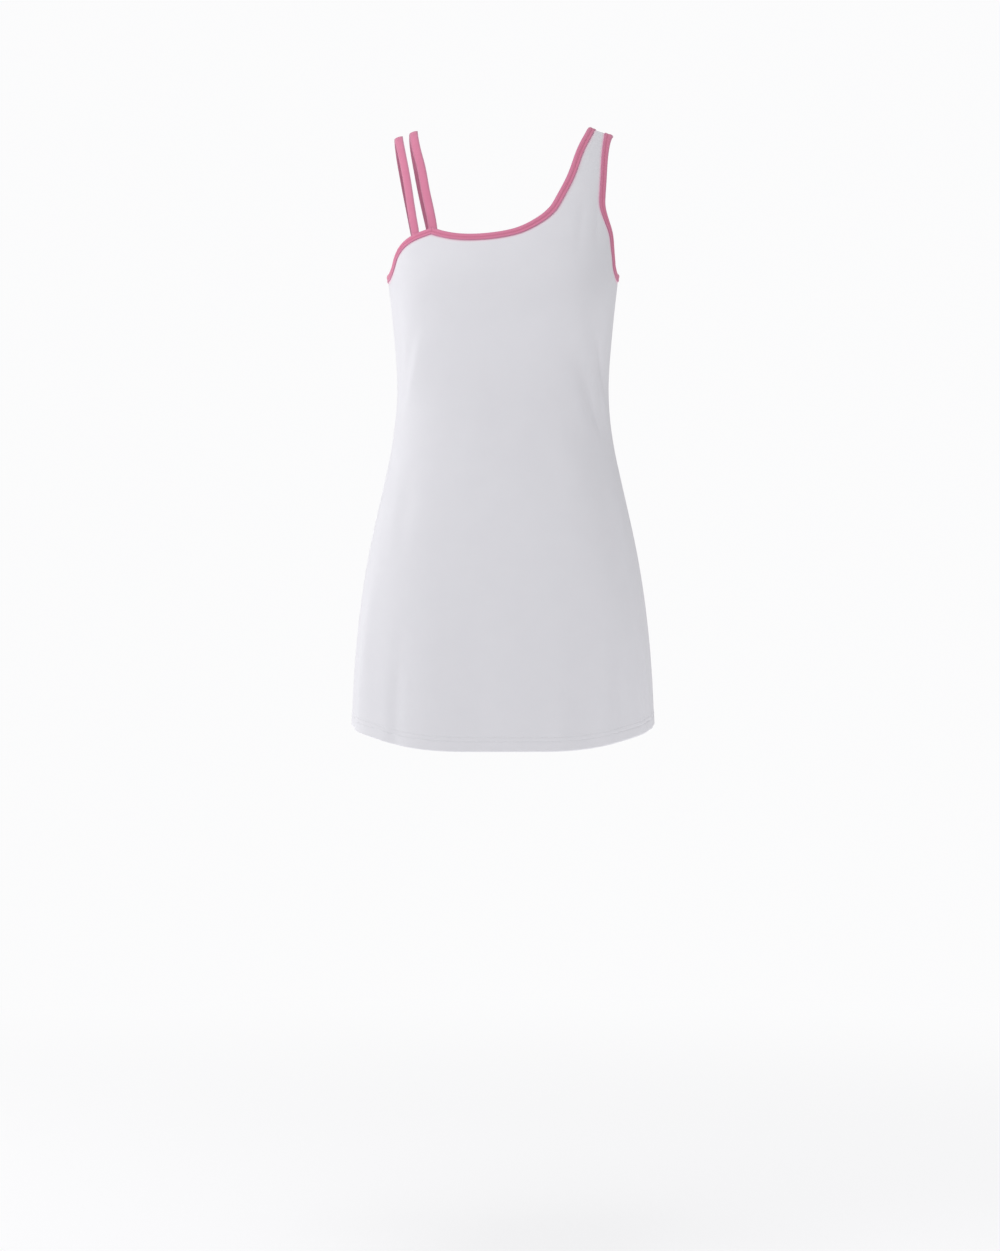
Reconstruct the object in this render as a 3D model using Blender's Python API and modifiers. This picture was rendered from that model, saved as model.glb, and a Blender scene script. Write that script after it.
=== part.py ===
"""Mini dress with one wide shoulder and two narrow straps, as it hangs when worn.

The frame has +Z up, the front towards -Y and the wearer's left towards +X. The origin is the
middle of the wearer's shoulder line. Places on the cloth are a turn round the body (0 at the
centre front, 90 degrees at the wearer's left side, 180 at the centre back) and a drop below the
shoulder line. A negative drop is over the shoulder, on the other face.
"""

import bpy
import bmesh
import numpy as np

MM = 0.001

# Cloth
WALL = 1.2 * MM
SEAM_GAP = 0.3 * MM
LEAF = 1.0 * MM
BINDING_WIDTH = 8.0 * MM
SHOULDER_GAP = 0.25 * MM
STRAP_WIDTH = 11.5 * MM
STRAP_THICKNESS = 2.0 * MM

# Shoulders of the worn form
SHOULDER_ROUND = 25 * MM
SHOULDER_FALL = 0.36
SHOULDER_FALL_FROM = 125 * MM
SHOULDER_FALL_REACH = 80 * MM
RIGHT_SHOULDER_LOWER = 4 * MM
NECK_ROUND = 40 * MM

# Hem: its drop at the centre, and how far it rises from there to the side seams
HEM_DROP = 791 * MM
HEM_RISE = 30 * MM
HEM_LEVEL_TO = np.radians(14)

# Horizontal sections of the worn form, from the shoulders down
SECTION_COLUMNS = ("drop", "half_width", "front_depth", "back_depth",
                   "front_fullness", "back_fullness", "seam_turn")
SECTIONS = (
    (0, 152.0, 0, 0, 0.10, 0.10, 90),
    (5, 152.2, 25, 25, 0.11, 0.11, 90),
    (20, 152.5, 45, 45, 0.12, 0.12, 90),
    (60, 152.5, 68, 72, 0.14, 0.16, 90),
    (100, 151.0, 82, 84, 0.16, 0.18, 90),
    (150, 149.0, 103, 88, 0.20, 0.18, 90),
    (190, 147.0, 118, 87, 0.24, 0.18, 90),
    (225, 143.2, 119, 84, 0.24, 0.16, 89),
    (270, 138.8, 108, 79, 0.20, 0.14, 88),
    (330, 135.2, 96, 77, 0.16, 0.13, 86),
    (390, 139.8, 95, 84, 0.14, 0.14, 84),
    (460, 153.9, 101, 104, 0.13, 0.16, 83),
    (540, 171.4, 107, 124, 0.12, 0.16, 82),
    (620, 183.8, 112, 131, 0.12, 0.14, 81),
    (700, 191.0, 117, 135, 0.12, 0.12, 80),
    (800, 195.0, 123, 139, 0.12, 0.12, 80),
)

# Cut edges: turn in degrees, drop in millimetres
FRONT_NECK = (
    (-31.6, 135.4), (-25, 141), (-17, 144.8), (-9, 145.1), (-1, 142.5), (6, 137.3), (13, 127),
    (19.9, 111.6), (25, 90.5), (29.3, 70.5), (32.7, 50), (37, 27.5), (40.4, 13.5), (44.5, 0),
)
BACK_NECK = (
    (-30, 156), (-23, 160.5), (-14, 163), (-4, 162), (6, 156.5), (15, 145), (23, 126),
    (30, 99), (35.5, 68), (39.5, 36), (44.5, 0),
)
RIGHT_UNDERARM = (
    (-31.6, 135.4), (-40, 140.8), (-47.5, 147), (-53, 153.5), (-57, 160), (-60.2, 167),
    (-63, 174.5), (-65.8, 181), (-71, 186), (-79, 187), (-90, 185.5), (-104, 183), (-116, 177),
    (-127, 169.5), (-138.5, 162), (-150, 156),
)
LEFT_ARMHOLE_FRONT = (
    (65, 0), (59, 18), (55.8, 45), (54, 80), (54.8, 110), (60, 128), (63.3, 142), (64.7, 158),
    (66.3, 171), (68, 180), (72.5, 185.5), (80, 186), (90, 184),
)
LEFT_ARMHOLE_BACK = (
    (65, 0), (59, 18), (55.2, 45), (53.5, 80), (54, 110), (58, 135), (63, 153), (70, 169),
    (79, 180), (90, 184),
)
INNER_STRAP = (
    (-31.3, 142), (-33, 116.5), (-36.1, 86), (-39, 55), (-42.1, 33), (-44.8, 12), (-46.4, 0),
    (-45.8, -15), (-43.4, -35), (-38.6, -75), (-33.6, -125), (-30.6, -163.5),
)
OUTER_STRAP = (
    (-42.8, 150), (-43.5, 132), (-46, 103), (-48.8, 71), (-52.3, 42), (-56.1, 18), (-59.8, 0),
    (-58.3, -18), (-54.3, -45), (-49, -85), (-44.4, -130), (-40.4, -169),
)

# Largest folds: a line from a top point to a foot point, a width and a height along the cloth's
# outward side, and how much of the height is still there at the foot
FOLD_COLUMNS = ("top_turn", "top_drop", "foot_turn", "foot_drop", "width", "height", "foot_share")
FOLDS = (
    (-33, 250, -62, 395, 17, 1.8, 0),
    (-49, 235, -72, 345, 13, 1.5, 0),
    (36, 232, 60, 372, 17, 1.8, 0),
    (33, 300, 52, 420, 15, 1.5, 0),
    (-66, 500, -62, 800, 26, 4.5, 1),
    (50, 540, 62, 800, 26, 4.5, 1),
    (-26, 560, -24, 800, 30, 2.4, 1),
    (8, 580, 6, 800, 28, 2.0, 1),
    (30, 520, 33, 800, 24, -2.2, 1),
    (-150, 600, -146, 800, 30, 5.0, 1),
    (-118, 560, -116, 800, 26, 4.0, 1),
    (180, 640, 180, 800, 28, -3.5, 1),
    (150, 600, 147, 800, 30, 5.0, 1),
    (118, 560, 115, 800, 26, 4.0, 1),
    (128, 260, 150, 350, 18, -2.2, 0),
    (-128, 260, -150, 350, 18, -2.2, 0),
)

# Grid of a panel
COLUMNS = 32
BODY_ROWS = 26
CHEST_ROWS = 8
STRAP_ROWS = 12
UNDERARM_COLUMNS = 4
WIDE_STRAP_COLUMNS = 5
CHEST_COLUMNS = COLUMNS - 2 * UNDERARM_COLUMNS
NECK_COLUMNS = CHEST_COLUMNS - WIDE_STRAP_COLUMNS
STRAP_STATIONS = 44
SHOULDER_CROWD = 1.6

# How far along its run each edge passes from one block of a panel to the next
NECK_SPLIT = 0.56
LEFT_UNDERARM_SPLIT = 0.74
LEFT_STRAP_SPLIT = 0.40
RIGHT_UNDERARM_SPLIT = 0.32

# The straps pass behind the bindings, and leave their level on the form within this length
STRAP_TUCK = WALL / 2 + SEAM_GAP + LEAF + 1.5 * SEAM_GAP + STRAP_THICKNESS / 2
STRAP_TUCK_FLAT = 9 * MM
STRAP_TUCK_END = 34 * MM

WHITE = (0.78, 0.76, 0.82, 1.0)
PINK = (0.66, 0.20, 0.33, 1.0)


def smooth_curve(knots, values):
    """Natural cubic spline through the values, given as a function of the knots' measure."""
    knots = np.asarray(knots, float)
    values = np.asarray(values, float)
    gaps = np.diff(knots)
    slopes = np.diff(values) / gaps
    system = np.eye(len(knots))
    loads = np.zeros(len(knots))
    for i in range(1, len(knots) - 1):
        system[i, i - 1:i + 2] = gaps[i - 1], 2 * (gaps[i - 1] + gaps[i]), gaps[i]
        loads[i] = 6 * (slopes[i] - slopes[i - 1])
    bends = np.linalg.solve(system, loads)

    def at(measure):
        i = np.clip(np.searchsorted(knots, measure) - 1, 0, len(gaps) - 1)
        after = measure - knots[i]
        before = knots[i + 1] - measure
        bent = (bends[i] * before ** 3 + bends[i + 1] * after ** 3) / (6 * gaps[i])
        low = (values[i] / gaps[i] - bends[i] * gaps[i] / 6) * before
        high = (values[i + 1] / gaps[i] - bends[i + 1] * gaps[i] / 6) * after
        return bent + low + high

    return at


def reach_of(drop):
    """Way down the rounded shoulder for a drop; over the shoulder both are negative."""
    size = np.abs(drop)
    return np.sign(drop) * np.sqrt((size + SHOULDER_ROUND) ** 2 - SHOULDER_ROUND ** 2)


def drop_of(reach):
    return np.sqrt(reach ** 2 + SHOULDER_ROUND ** 2) - SHOULDER_ROUND


def section_curves():
    """One smooth curve over the reach for each column of the sections."""
    rows = np.array(SECTIONS, float)
    reach = reach_of(rows[:, 0] * MM)
    lengths = ("half_width", "front_depth", "back_depth")
    curves = {}
    for index, name in enumerate(SECTION_COLUMNS[1:], start=1):
        scale = MM if name in lengths else 1.0
        curves[name] = smooth_curve(reach, rows[:, index] * scale)
    return curves


SECTION = section_curves()


def plain_point(turn, reach):
    """The form without folds: a rounded section at each level, and shoulders that fall away."""
    turn = np.where(reach < 0, np.pi - turn, turn)
    reach = np.abs(reach)
    sine = np.sin(turn)
    cosine = np.cos(turn)
    front = cosine >= 0
    fullness = np.where(front, SECTION["front_fullness"](reach), SECTION["back_fullness"](reach))
    depth = np.where(front, SECTION["front_depth"](reach), SECTION["back_depth"](reach))
    across = SECTION["half_width"](reach) * sine * (1 + fullness * cosine ** 2)
    forward = depth * cosine * (1 + fullness * sine ** 2)
    drop = drop_of(reach)
    fade = np.exp(-(drop / SHOULDER_FALL_REACH) ** 2)
    level_at = np.hypot(SHOULDER_FALL_FROM, NECK_ROUND)
    spread = np.hypot(across, NECK_ROUND) - level_at
    lower = RIGHT_SHOULDER_LOWER * (1 - np.tanh(across / NECK_ROUND)) / 2
    return np.stack([across, -forward, -drop - fade * (SHOULDER_FALL * spread + lower)], axis=-1)


def slopes_of(surface, turn, reach):
    """Central differences of a surface: metres per radian of turn and per metre of reach."""
    small_turn = 0.002
    small_reach = 0.3 * MM
    along_turn = surface(turn + small_turn, reach) - surface(turn - small_turn, reach)
    along_reach = surface(turn, reach + small_reach) - surface(turn, reach - small_reach)
    return along_turn / (2 * small_turn), along_reach / (2 * small_reach)


def outward(surface, turn, reach):
    """Unit normal of a surface, away from the body."""
    along_turn, along_reach = slopes_of(surface, turn, reach)
    normal = np.cross(along_reach, along_turn)
    return normal / np.linalg.norm(normal, axis=-1, keepdims=True)


def fold_height(turn, reach):
    """Sum of the folds: each is a soft ridge or trough across its line, tapered along it."""
    drop = drop_of(reach) * np.where(reach < 0, -1, 1)
    height = np.zeros(np.broadcast(turn, reach).shape)
    for row in FOLDS:
        fold = dict(zip(FOLD_COLUMNS, row))
        top = fold["top_drop"] * MM
        foot = fold["foot_drop"] * MM
        way = np.clip((drop - top) / (foot - top), 0, 1)
        centre = np.radians(fold["top_turn"] + (fold["foot_turn"] - fold["top_turn"]) * way)
        apart = (turn - centre + np.pi) % (2 * np.pi) - np.pi
        beside = apart * SECTION["half_width"](np.abs(reach))
        rise = np.where(fold["foot_share"] > 0, np.sin(way * np.pi / 2), np.sin(way * np.pi))
        height += fold["height"] * MM * rise * np.exp(-(beside / (fold["width"] * MM)) ** 2)
    return height


def cloth_point(turn, reach):
    """The cloth's middle surface: the plain form moved outwards by the folds."""
    turn, reach = np.broadcast_arrays(turn, reach)
    lift = fold_height(turn, reach)[..., None]
    return plain_point(turn, reach) + lift * outward(plain_point, turn, reach)


def hem_reach(turn):
    """The hem is level at the centre and rises towards the sides, front and back alike."""
    off_centre = np.abs(np.arcsin(np.sin(turn)))
    share = np.clip((off_centre - HEM_LEVEL_TO) / (np.pi / 2 - HEM_LEVEL_TO), 0, 1)
    return reach_of(HEM_DROP - HEM_RISE * np.sin(share * np.pi / 2) ** 2)


def edge_run(rows, segments, first=0.0, last=None, crowd=1.0):
    """Places along the smooth line through a table's rows, as turn and reach.

    first and last are row numbers of the table, and may lie between two rows. The places are
    evenly spaced, or closer together towards the last one where crowd is more than 1.
    """
    rows = np.array(rows, float)
    turn = np.radians(rows[:, 0])
    reach = reach_of(rows[:, 1] * MM)
    knots = way_along(cloth_point(turn, reach))
    turn_at = smooth_curve(knots, turn)
    reach_at = smooth_curve(knots, reach)
    numbers = np.arange(len(rows))
    ends = np.interp([first, numbers[-1] if last is None else last], numbers, knots)
    fine = np.linspace(ends[0], ends[1], 600)
    length = way_along(cloth_point(turn_at(fine), reach_at(fine)))
    share = 1 - np.linspace(1, 0, segments + 1) ** crowd
    measure = np.interp(share * length[-1], length, fine)
    return np.stack([turn_at(measure), reach_at(measure)], axis=-1)


def way_along(points):
    """Length along a line of points, from 0 at the first."""
    return np.concatenate([[0], np.cumsum(np.linalg.norm(np.diff(points, axis=0), axis=1))])


class Face:
    """The front or the back half of the form, with turns counted from its own centre."""

    def __init__(self, is_front):
        self.is_front = is_front

    def turn(self, places):
        return places[..., 0] if self.is_front else np.pi - places[..., 0]

    def point(self, places):
        return cloth_point(self.turn(places), places[..., 1])

    def normal(self, places):
        return outward(cloth_point, self.turn(places), places[..., 1])

    def seam_turn(self, reach):
        """Turn of this panel's side edge, half a seam gap short of the side seam."""
        seam = np.radians(SECTION["seam_turn"](reach))
        depth = SECTION["front_depth" if self.is_front else "back_depth"](reach)
        half_gap = SEAM_GAP / 2 / depth
        return (seam if self.is_front else np.pi - seam) - half_gap

    def step(self, places, vectors):
        """Move places on the cloth by vectors that lie along it."""
        along_turn, along_reach = slopes_of(cloth_point, self.turn(places), places[..., 1])
        if not self.is_front:
            along_turn = -along_turn
        tt = np.sum(along_turn * along_turn, axis=-1)
        rr = np.sum(along_reach * along_reach, axis=-1)
        tr = np.sum(along_turn * along_reach, axis=-1)
        vt = np.sum(vectors * along_turn, axis=-1)
        vr = np.sum(vectors * along_reach, axis=-1)
        share = tt * rr - tr * tr
        moved = np.stack([(vt * rr - vr * tr) / share, (vr * tt - vt * tr) / share], axis=-1)
        return places + moved


def directions(points):
    """Unit directions of the stretches before and after each point of a line."""
    ways = np.diff(points, axis=0)
    ways = ways / np.linalg.norm(ways, axis=1, keepdims=True)
    return np.concatenate([ways[:1], ways]), np.concatenate([ways, ways[-1:]])


def inner_line(face, edge, side):
    """The line one binding width inside a cut edge, mitred where the edge turns a corner.

    side is 1 where the cloth lies to the right of the edge's direction seen from outside the
    front, and -1 where it lies to the left.
    """
    points = face.point(edge)
    normals = face.normal(edge) * (1 if face.is_front else -1)
    before, after = directions(points)
    inward = [side * np.cross(way, normals) for way in (before, after)]
    middle = inward[0] + inward[1]
    middle = middle / np.linalg.norm(middle, axis=1, keepdims=True)
    mitre = np.sum(middle * inward[0], axis=1, keepdims=True)
    return face.step(edge, middle * BINDING_WIDTH / mitre)


def coons(bottom, top, left, right):
    """Places of a four-sided block worked out from its four sides."""
    up = np.linspace(0, 1, len(left))[:, None, None]
    over = np.linspace(0, 1, len(bottom))[None, :, None]
    ruled_up = (1 - up) * bottom[None] + up * top[None]
    ruled_over = (1 - over) * left[:, None] + over * right[:, None]
    corners = (1 - up) * ((1 - over) * bottom[0] + over * bottom[-1])
    corners = corners + up * ((1 - over) * top[0] + over * top[-1])
    return ruled_up + ruled_over - corners


def straight(start, end, segments):
    share = np.linspace(0, 1, segments + 1)[:, None]
    return start + (end - start) * share


def chain(*runs):
    """Runs that meet end to end, as one line."""
    return np.concatenate([runs[0]] + [run[1:] for run in runs[1:]])


class Panel:
    """Places of one panel: its blocks of cloth, and its bound edges with their inner lines."""

    def __init__(self, is_front):
        face = Face(is_front)
        self.face = face
        neck = FRONT_NECK if is_front else BACK_NECK
        armhole = LEFT_ARMHOLE_FRONT if is_front else LEFT_ARMHOLE_BACK
        self.right_edge(neck)
        self.left_edge(armhole)
        self.blocks = [self.body_block(), self.chest_block(), self.strap_block()]

    def right_edge(self, neck):
        """The edge from the right underarm over the point of the panel to the shoulder."""
        face = self.face
        seam_row = [row[0] for row in RIGHT_UNDERARM].index(-90)
        last_row = len(RIGHT_UNDERARM) - 1
        if face.is_front:
            split = seam_row * (1 - RIGHT_UNDERARM_SPLIT)
            under = edge_run(RIGHT_UNDERARM, UNDERARM_COLUMNS, seam_row, split)
            rise = edge_run(RIGHT_UNDERARM, CHEST_ROWS, split, 0)
        else:
            split = seam_row + (last_row - seam_row) * RIGHT_UNDERARM_SPLIT
            under = edge_run(RIGHT_UNDERARM, UNDERARM_COLUMNS, seam_row, split)
            rise = edge_run(RIGHT_UNDERARM, CHEST_ROWS, split, last_row)
            for run in (under, rise):
                run[:, 0] = -np.pi - run[:, 0]
        under[0, 0] = -face.seam_turn(under[0, 1])
        neck_split = (len(neck) - 1) * NECK_SPLIT
        scoop = edge_run(neck, NECK_COLUMNS, 0, neck_split)
        climb = edge_run(neck, STRAP_ROWS, neck_split, crowd=SHOULDER_CROWD)
        climb[-1, 1] = SHOULDER_GAP
        edge = chain(under, rise, scoop, climb)
        inner = inner_line(face, edge, 1)
        inner[0, 0] = -face.seam_turn(inner[0, 1])
        inner[-1, 1] = SHOULDER_GAP
        self.right = (edge, inner)

    def left_edge(self, armhole):
        """The edge of the left armhole, from the underarm to the shoulder."""
        face = self.face
        last = len(armhole) - 1
        low = last * LEFT_UNDERARM_SPLIT
        high = last * LEFT_STRAP_SPLIT
        under = edge_run(armhole, UNDERARM_COLUMNS, last, low)
        rise = edge_run(armhole, CHEST_ROWS, low, high)
        climb = edge_run(armhole, STRAP_ROWS, high, 0, crowd=SHOULDER_CROWD)
        under[0, 0] = face.seam_turn(under[0, 1])
        climb[-1, 1] = SHOULDER_GAP
        edge = chain(under, rise, climb)
        inner = inner_line(face, edge, -1)
        inner[0, 0] = face.seam_turn(inner[0, 1])
        inner[-1, 1] = SHOULDER_GAP
        self.left = (edge, inner)

    def body_block(self):
        """Hem to chest, the full width between the side seams."""
        face = self.face
        right = self.right[1][:UNDERARM_COLUMNS + 1]
        left = self.left[1][:UNDERARM_COLUMNS + 1]
        self.chest_line = straight(right[-1], left[-1], CHEST_COLUMNS)
        top = chain(right, self.chest_line, left[::-1])
        side_reach = hem_reach(face.seam_turn(reach_of(HEM_DROP - HEM_RISE)))
        limit = face.seam_turn(side_reach)
        turns = np.linspace(-limit, limit, COLUMNS + 1)
        hem = np.stack([turns, hem_reach(turns)], axis=-1)
        return coons(hem, top, self.side_line(hem[0], right[0], -1), self.side_line(hem[-1], left[0], 1))

    def side_line(self, low, high, sign):
        reach = np.linspace(low[1], high[1], BODY_ROWS + 1)
        return np.stack([sign * self.face.seam_turn(reach), reach], axis=-1)

    def chest_block(self):
        """Chest line to neck edge, between the two armholes."""
        first = UNDERARM_COLUMNS
        peak = first + CHEST_ROWS
        split = peak + NECK_COLUMNS
        right = self.right[1][first:peak + 1]
        scoop = self.right[1][peak:split + 1]
        left = self.left[1][first:first + CHEST_ROWS + 1]
        self.strap_base = straight(scoop[-1], left[-1], WIDE_STRAP_COLUMNS)
        return coons(self.chest_line, chain(scoop, self.strap_base), right, left)

    def strap_block(self):
        """The wide strap, up to the shoulder seam."""
        neck_side = self.right[1][-STRAP_ROWS - 1:]
        arm_side = self.left[1][-STRAP_ROWS - 1:]
        shoulder = straight(neck_side[-1], arm_side[-1], WIDE_STRAP_COLUMNS)
        return coons(self.strap_base, shoulder, neck_side, arm_side)

    def borders(self):
        """The strips under the bindings, as grids of places with the slant of their diagonals."""
        right_edge, right_inner = self.right
        left_edge, left_inner = self.left
        yield np.stack([right_inner, right_edge]), 1
        yield np.stack([left_edge, left_inner]), -1


def add_patch(mesh, points, slants=None):
    """Add a grid of faces whose corners are the given rows of points.

    slants names, for each column of faces, the diagonal that splits its faces in two: 1 for the
    one that rises with the columns, -1 for the other and 0 for none. Cloth that is folded over
    an edge is split as the cloth under it is, so that both keep the same distance everywhere.
    """
    rows, columns = points.shape[:2]
    corners = bmesh.ops.create_grid(mesh, x_segments=columns - 1, y_segments=rows - 1, size=1)["verts"]
    for vertex, place in zip(corners, points.reshape(-1, 3)):
        vertex.co = place
    for column, slant in enumerate(slants or ()):
        low, high = (column, column + 1) if slant > 0 else (column + 1, column)
        for row in range(rows - 1 if slant else 0):
            start = corners[row * columns + low]
            end = corners[(row + 1) * columns + high]
            shared = next(face for face in start.link_faces if end in face.verts)
            bmesh.utils.face_split(shared, start, end)


def finish_object(name, mesh, material, collection):
    data = bpy.data.meshes.new(name)
    mesh.to_mesh(data)
    mesh.free()
    data.materials.append(material)
    data.shade_smooth()
    data.set_sharp_from_angle(angle=np.radians(40))
    made = bpy.data.objects.new(name, data)
    collection.objects.link(made)
    return made


def add_wall(made, thickness):
    solidify = made.modifiers.new("Wall", "SOLIDIFY")
    solidify.thickness = thickness
    solidify.offset = 0


def make_panel(name, panel, material, collection):
    """A panel: its patches welded into one sheet, given the cloth's thickness."""
    mesh = bmesh.new()
    for places in panel.blocks:
        add_patch(mesh, panel.face.point(places))
    for places, slant in panel.borders():
        add_patch(mesh, panel.face.point(places), [slant] * (places.shape[1] - 1))
    bmesh.ops.remove_doubles(mesh, verts=mesh.verts, dist=0.01 * MM)
    if not panel.face.is_front:
        bmesh.ops.reverse_faces(mesh, faces=mesh.faces)
    made = finish_object(name, mesh, material, collection)
    add_wall(made, WALL)


def edge_stations(panel, edge, inner):
    """Points on a cut edge, on its inner line, and the normals at both."""
    face = panel.face
    return np.stack([face.point(edge), face.point(inner), face.normal(edge), face.normal(inner)], axis=1)


def join_stations(front, back):
    """Stations of the two panels as one run, with one station on the seam between them."""
    seam = (front[-1:] + back[:1]) / 2
    return np.concatenate([front[:-1], seam, back[1:]])


# Slants of the folded strip's faces: only its leaves follow the panel's diagonals
FOLD_SLANTS = (1, 0, 0, 0, 0, -1, 0, 1, 0, -1, 0)


def fold_sections(stations):
    """The folded strip's section at each station, round the cut edge and over both sides."""
    edge, inner, edge_normal, inner_normal = (stations[:, i] for i in range(4))
    inward = (inner - edge) / BINDING_WIDTH
    near = WALL / 2 + SEAM_GAP
    far = near + LEAF
    fold = SEAM_GAP + LEAF
    outline = []
    for side, level in ((1, far), (-1, far)):
        leaf_end = inner + side * level * inner_normal
        leaf_start = edge + side * level * edge_normal
        turn_in = edge - 0.75 * fold * inward + side * 0.7 * level * edge_normal
        outline.append([leaf_end, leaf_start, turn_in])
    gap_edge = edge - SEAM_GAP * inward
    gap_side = [[inner + side * near * inner_normal, gap_edge + side * near * edge_normal] for side in (1, -1)]
    ring = outline[0] + [edge - fold * inward] + outline[1][::-1] + gap_side[1] + gap_side[0][::-1]
    return np.stack(ring, axis=1)


def make_binding(name, stations, seam, closed, material, collection):
    """A strip folded over an edge: a closed ring, or open with a seam gap at each end.

    seam is the station where the strip passes from one panel to the other. Its two halves are
    read in the order of their own panel's edge, which runs from the right side to the left.
    """
    sections = fold_sections(stations)
    if closed:
        sections = np.concatenate([sections, sections[:1]])
    else:
        for end, next_in in ((0, 1), (-1, -2)):
            way = sections[next_in] - sections[end]
            length = np.linalg.norm(way, axis=1).mean()
            sections[end] = sections[end] + way * SEAM_GAP / length
    sections = np.concatenate([sections, sections[:, :1]], axis=1)
    halves = [sections[:seam + 1], sections[seam:]]
    backwards = 0 if name.startswith("right") else 1
    halves[backwards] = halves[backwards][::-1]
    mesh = bmesh.new()
    for half in halves:
        add_patch(mesh, half, FOLD_SLANTS)
    bmesh.ops.remove_doubles(mesh, verts=mesh.verts, dist=0.01 * MM)
    if not closed:
        bmesh.ops.holes_fill(mesh, edges=mesh.edges)
    bmesh.ops.recalc_face_normals(mesh, faces=mesh.faces)
    finish_object(name, mesh, material, collection)


def make_strap(name, rows, material, collection):
    """A narrow strap over the right shoulder, tucked behind the bindings at both ends."""
    face = Face(True)
    middle = edge_run(rows, STRAP_STATIONS)
    points = face.point(middle)
    normals = face.normal(middle)
    before, after = directions(points)
    across = np.cross(before + after, normals)
    across = across / np.linalg.norm(across, axis=1, keepdims=True)
    length = way_along(points)
    from_end = np.minimum(length, length[-1] - length)
    share = np.clip((STRAP_TUCK_END - from_end) / (STRAP_TUCK_END - STRAP_TUCK_FLAT), 0, 1)
    tuck = STRAP_TUCK * share ** 2 * (3 - 2 * share)
    lines = []
    for side in (-0.5, 0, 0.5):
        beside = face.step(middle, across * STRAP_WIDTH * side)
        lines.append(face.point(beside) - face.normal(beside) * tuck[:, None])
    mesh = bmesh.new()
    add_patch(mesh, np.stack(lines, axis=1))
    made = finish_object(name, mesh, material, collection)
    add_wall(made, STRAP_THICKNESS)


def make_material(name, colour):
    material = bpy.data.materials.new(name)
    material.use_nodes = True
    shader = material.node_tree.nodes["Principled BSDF"]
    shader.inputs["Base Color"].default_value = colour
    shader.inputs["Roughness"].default_value = 0.85
    shader.inputs["Metallic"].default_value = 0.0
    return material


def make_bindings(front, back, collection):
    """Neck binding, right armhole binding and left armhole binding, each in its own material."""
    peak = UNDERARM_COLUMNS + CHEST_ROWS
    stations = [edge_stations(panel, *panel.right) for panel in (front, back)]
    neck = [run[peak:] for run in stations]
    right = [run[:peak + 1] for run in stations]
    left = [edge_stations(panel, *panel.left) for panel in (front, back)]
    runs = {
        "neck_binding": (neck[0], neck[1][::-1]),
        "right_armhole_binding": (right[0][::-1], right[1]),
        "left_armhole_binding": (left[0], left[1][::-1]),
    }
    for name, (before, after) in runs.items():
        joined = join_stations(before, after)
        closed = name == "left_armhole_binding"
        if closed:
            joined[0] = (joined[0] + joined[-1]) / 2
            joined = joined[:-1]
        material = make_material(name + "_knit", PINK)
        make_binding(name, joined, len(before) - 1, closed, material, collection)


def build():
    for old in list(bpy.data.objects):
        bpy.data.objects.remove(old, do_unlink=True)
    collection = bpy.data.collections.new("mini_dress")
    bpy.context.scene.collection.children.link(collection)
    front = Panel(True)
    back = Panel(False)
    make_panel("front_panel", front, make_material("front_panel_knit", WHITE), collection)
    make_panel("back_panel", back, make_material("back_panel_knit", WHITE), collection)
    make_bindings(front, back, collection)
    make_strap("inner_strap", INNER_STRAP, make_material("inner_strap_knit", PINK), collection)
    make_strap("outer_strap", OUTER_STRAP, make_material("outer_strap_knit", PINK), collection)


build()
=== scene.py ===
"""Dressed model of the mini dress: knitted cloth, folded bindings, straps and sewing.

The frame has +Z up, the front towards -Y and the wearer's left towards +X, with the origin at the
middle of the shoulder line. Places on the cloth are a turn round the body and a reach down it.
"""

import bmesh
import bpy
import numpy as np
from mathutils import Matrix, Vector


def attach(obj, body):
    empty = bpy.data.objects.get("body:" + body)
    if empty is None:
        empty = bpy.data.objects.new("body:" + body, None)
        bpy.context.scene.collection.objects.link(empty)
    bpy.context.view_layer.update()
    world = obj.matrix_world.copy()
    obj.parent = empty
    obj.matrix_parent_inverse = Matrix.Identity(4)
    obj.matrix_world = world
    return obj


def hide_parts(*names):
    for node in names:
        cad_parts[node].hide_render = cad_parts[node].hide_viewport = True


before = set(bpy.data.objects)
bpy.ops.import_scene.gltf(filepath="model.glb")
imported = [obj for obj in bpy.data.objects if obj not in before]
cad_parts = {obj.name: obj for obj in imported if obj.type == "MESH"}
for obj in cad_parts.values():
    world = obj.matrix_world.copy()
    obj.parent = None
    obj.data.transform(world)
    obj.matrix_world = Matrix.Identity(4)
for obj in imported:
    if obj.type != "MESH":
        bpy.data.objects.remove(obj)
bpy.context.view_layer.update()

MM = 0.001

# Cloth
WALL = 1.2 * MM
SEAM_GAP = 0.3 * MM
LEAF = 1.0 * MM
BINDING_WIDTH = 8.0 * MM
STRAP_THICKNESS = 2.0 * MM
PANEL_GAP = 0.02 * MM

# Shoulders of the worn form
SHOULDER_ROUND = 25 * MM
SHOULDER_FALL = 0.36
SHOULDER_FALL_FROM = 125 * MM
SHOULDER_FALL_REACH = 80 * MM
RIGHT_SHOULDER_LOWER = 4 * MM
NECK_ROUND = 40 * MM

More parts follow.
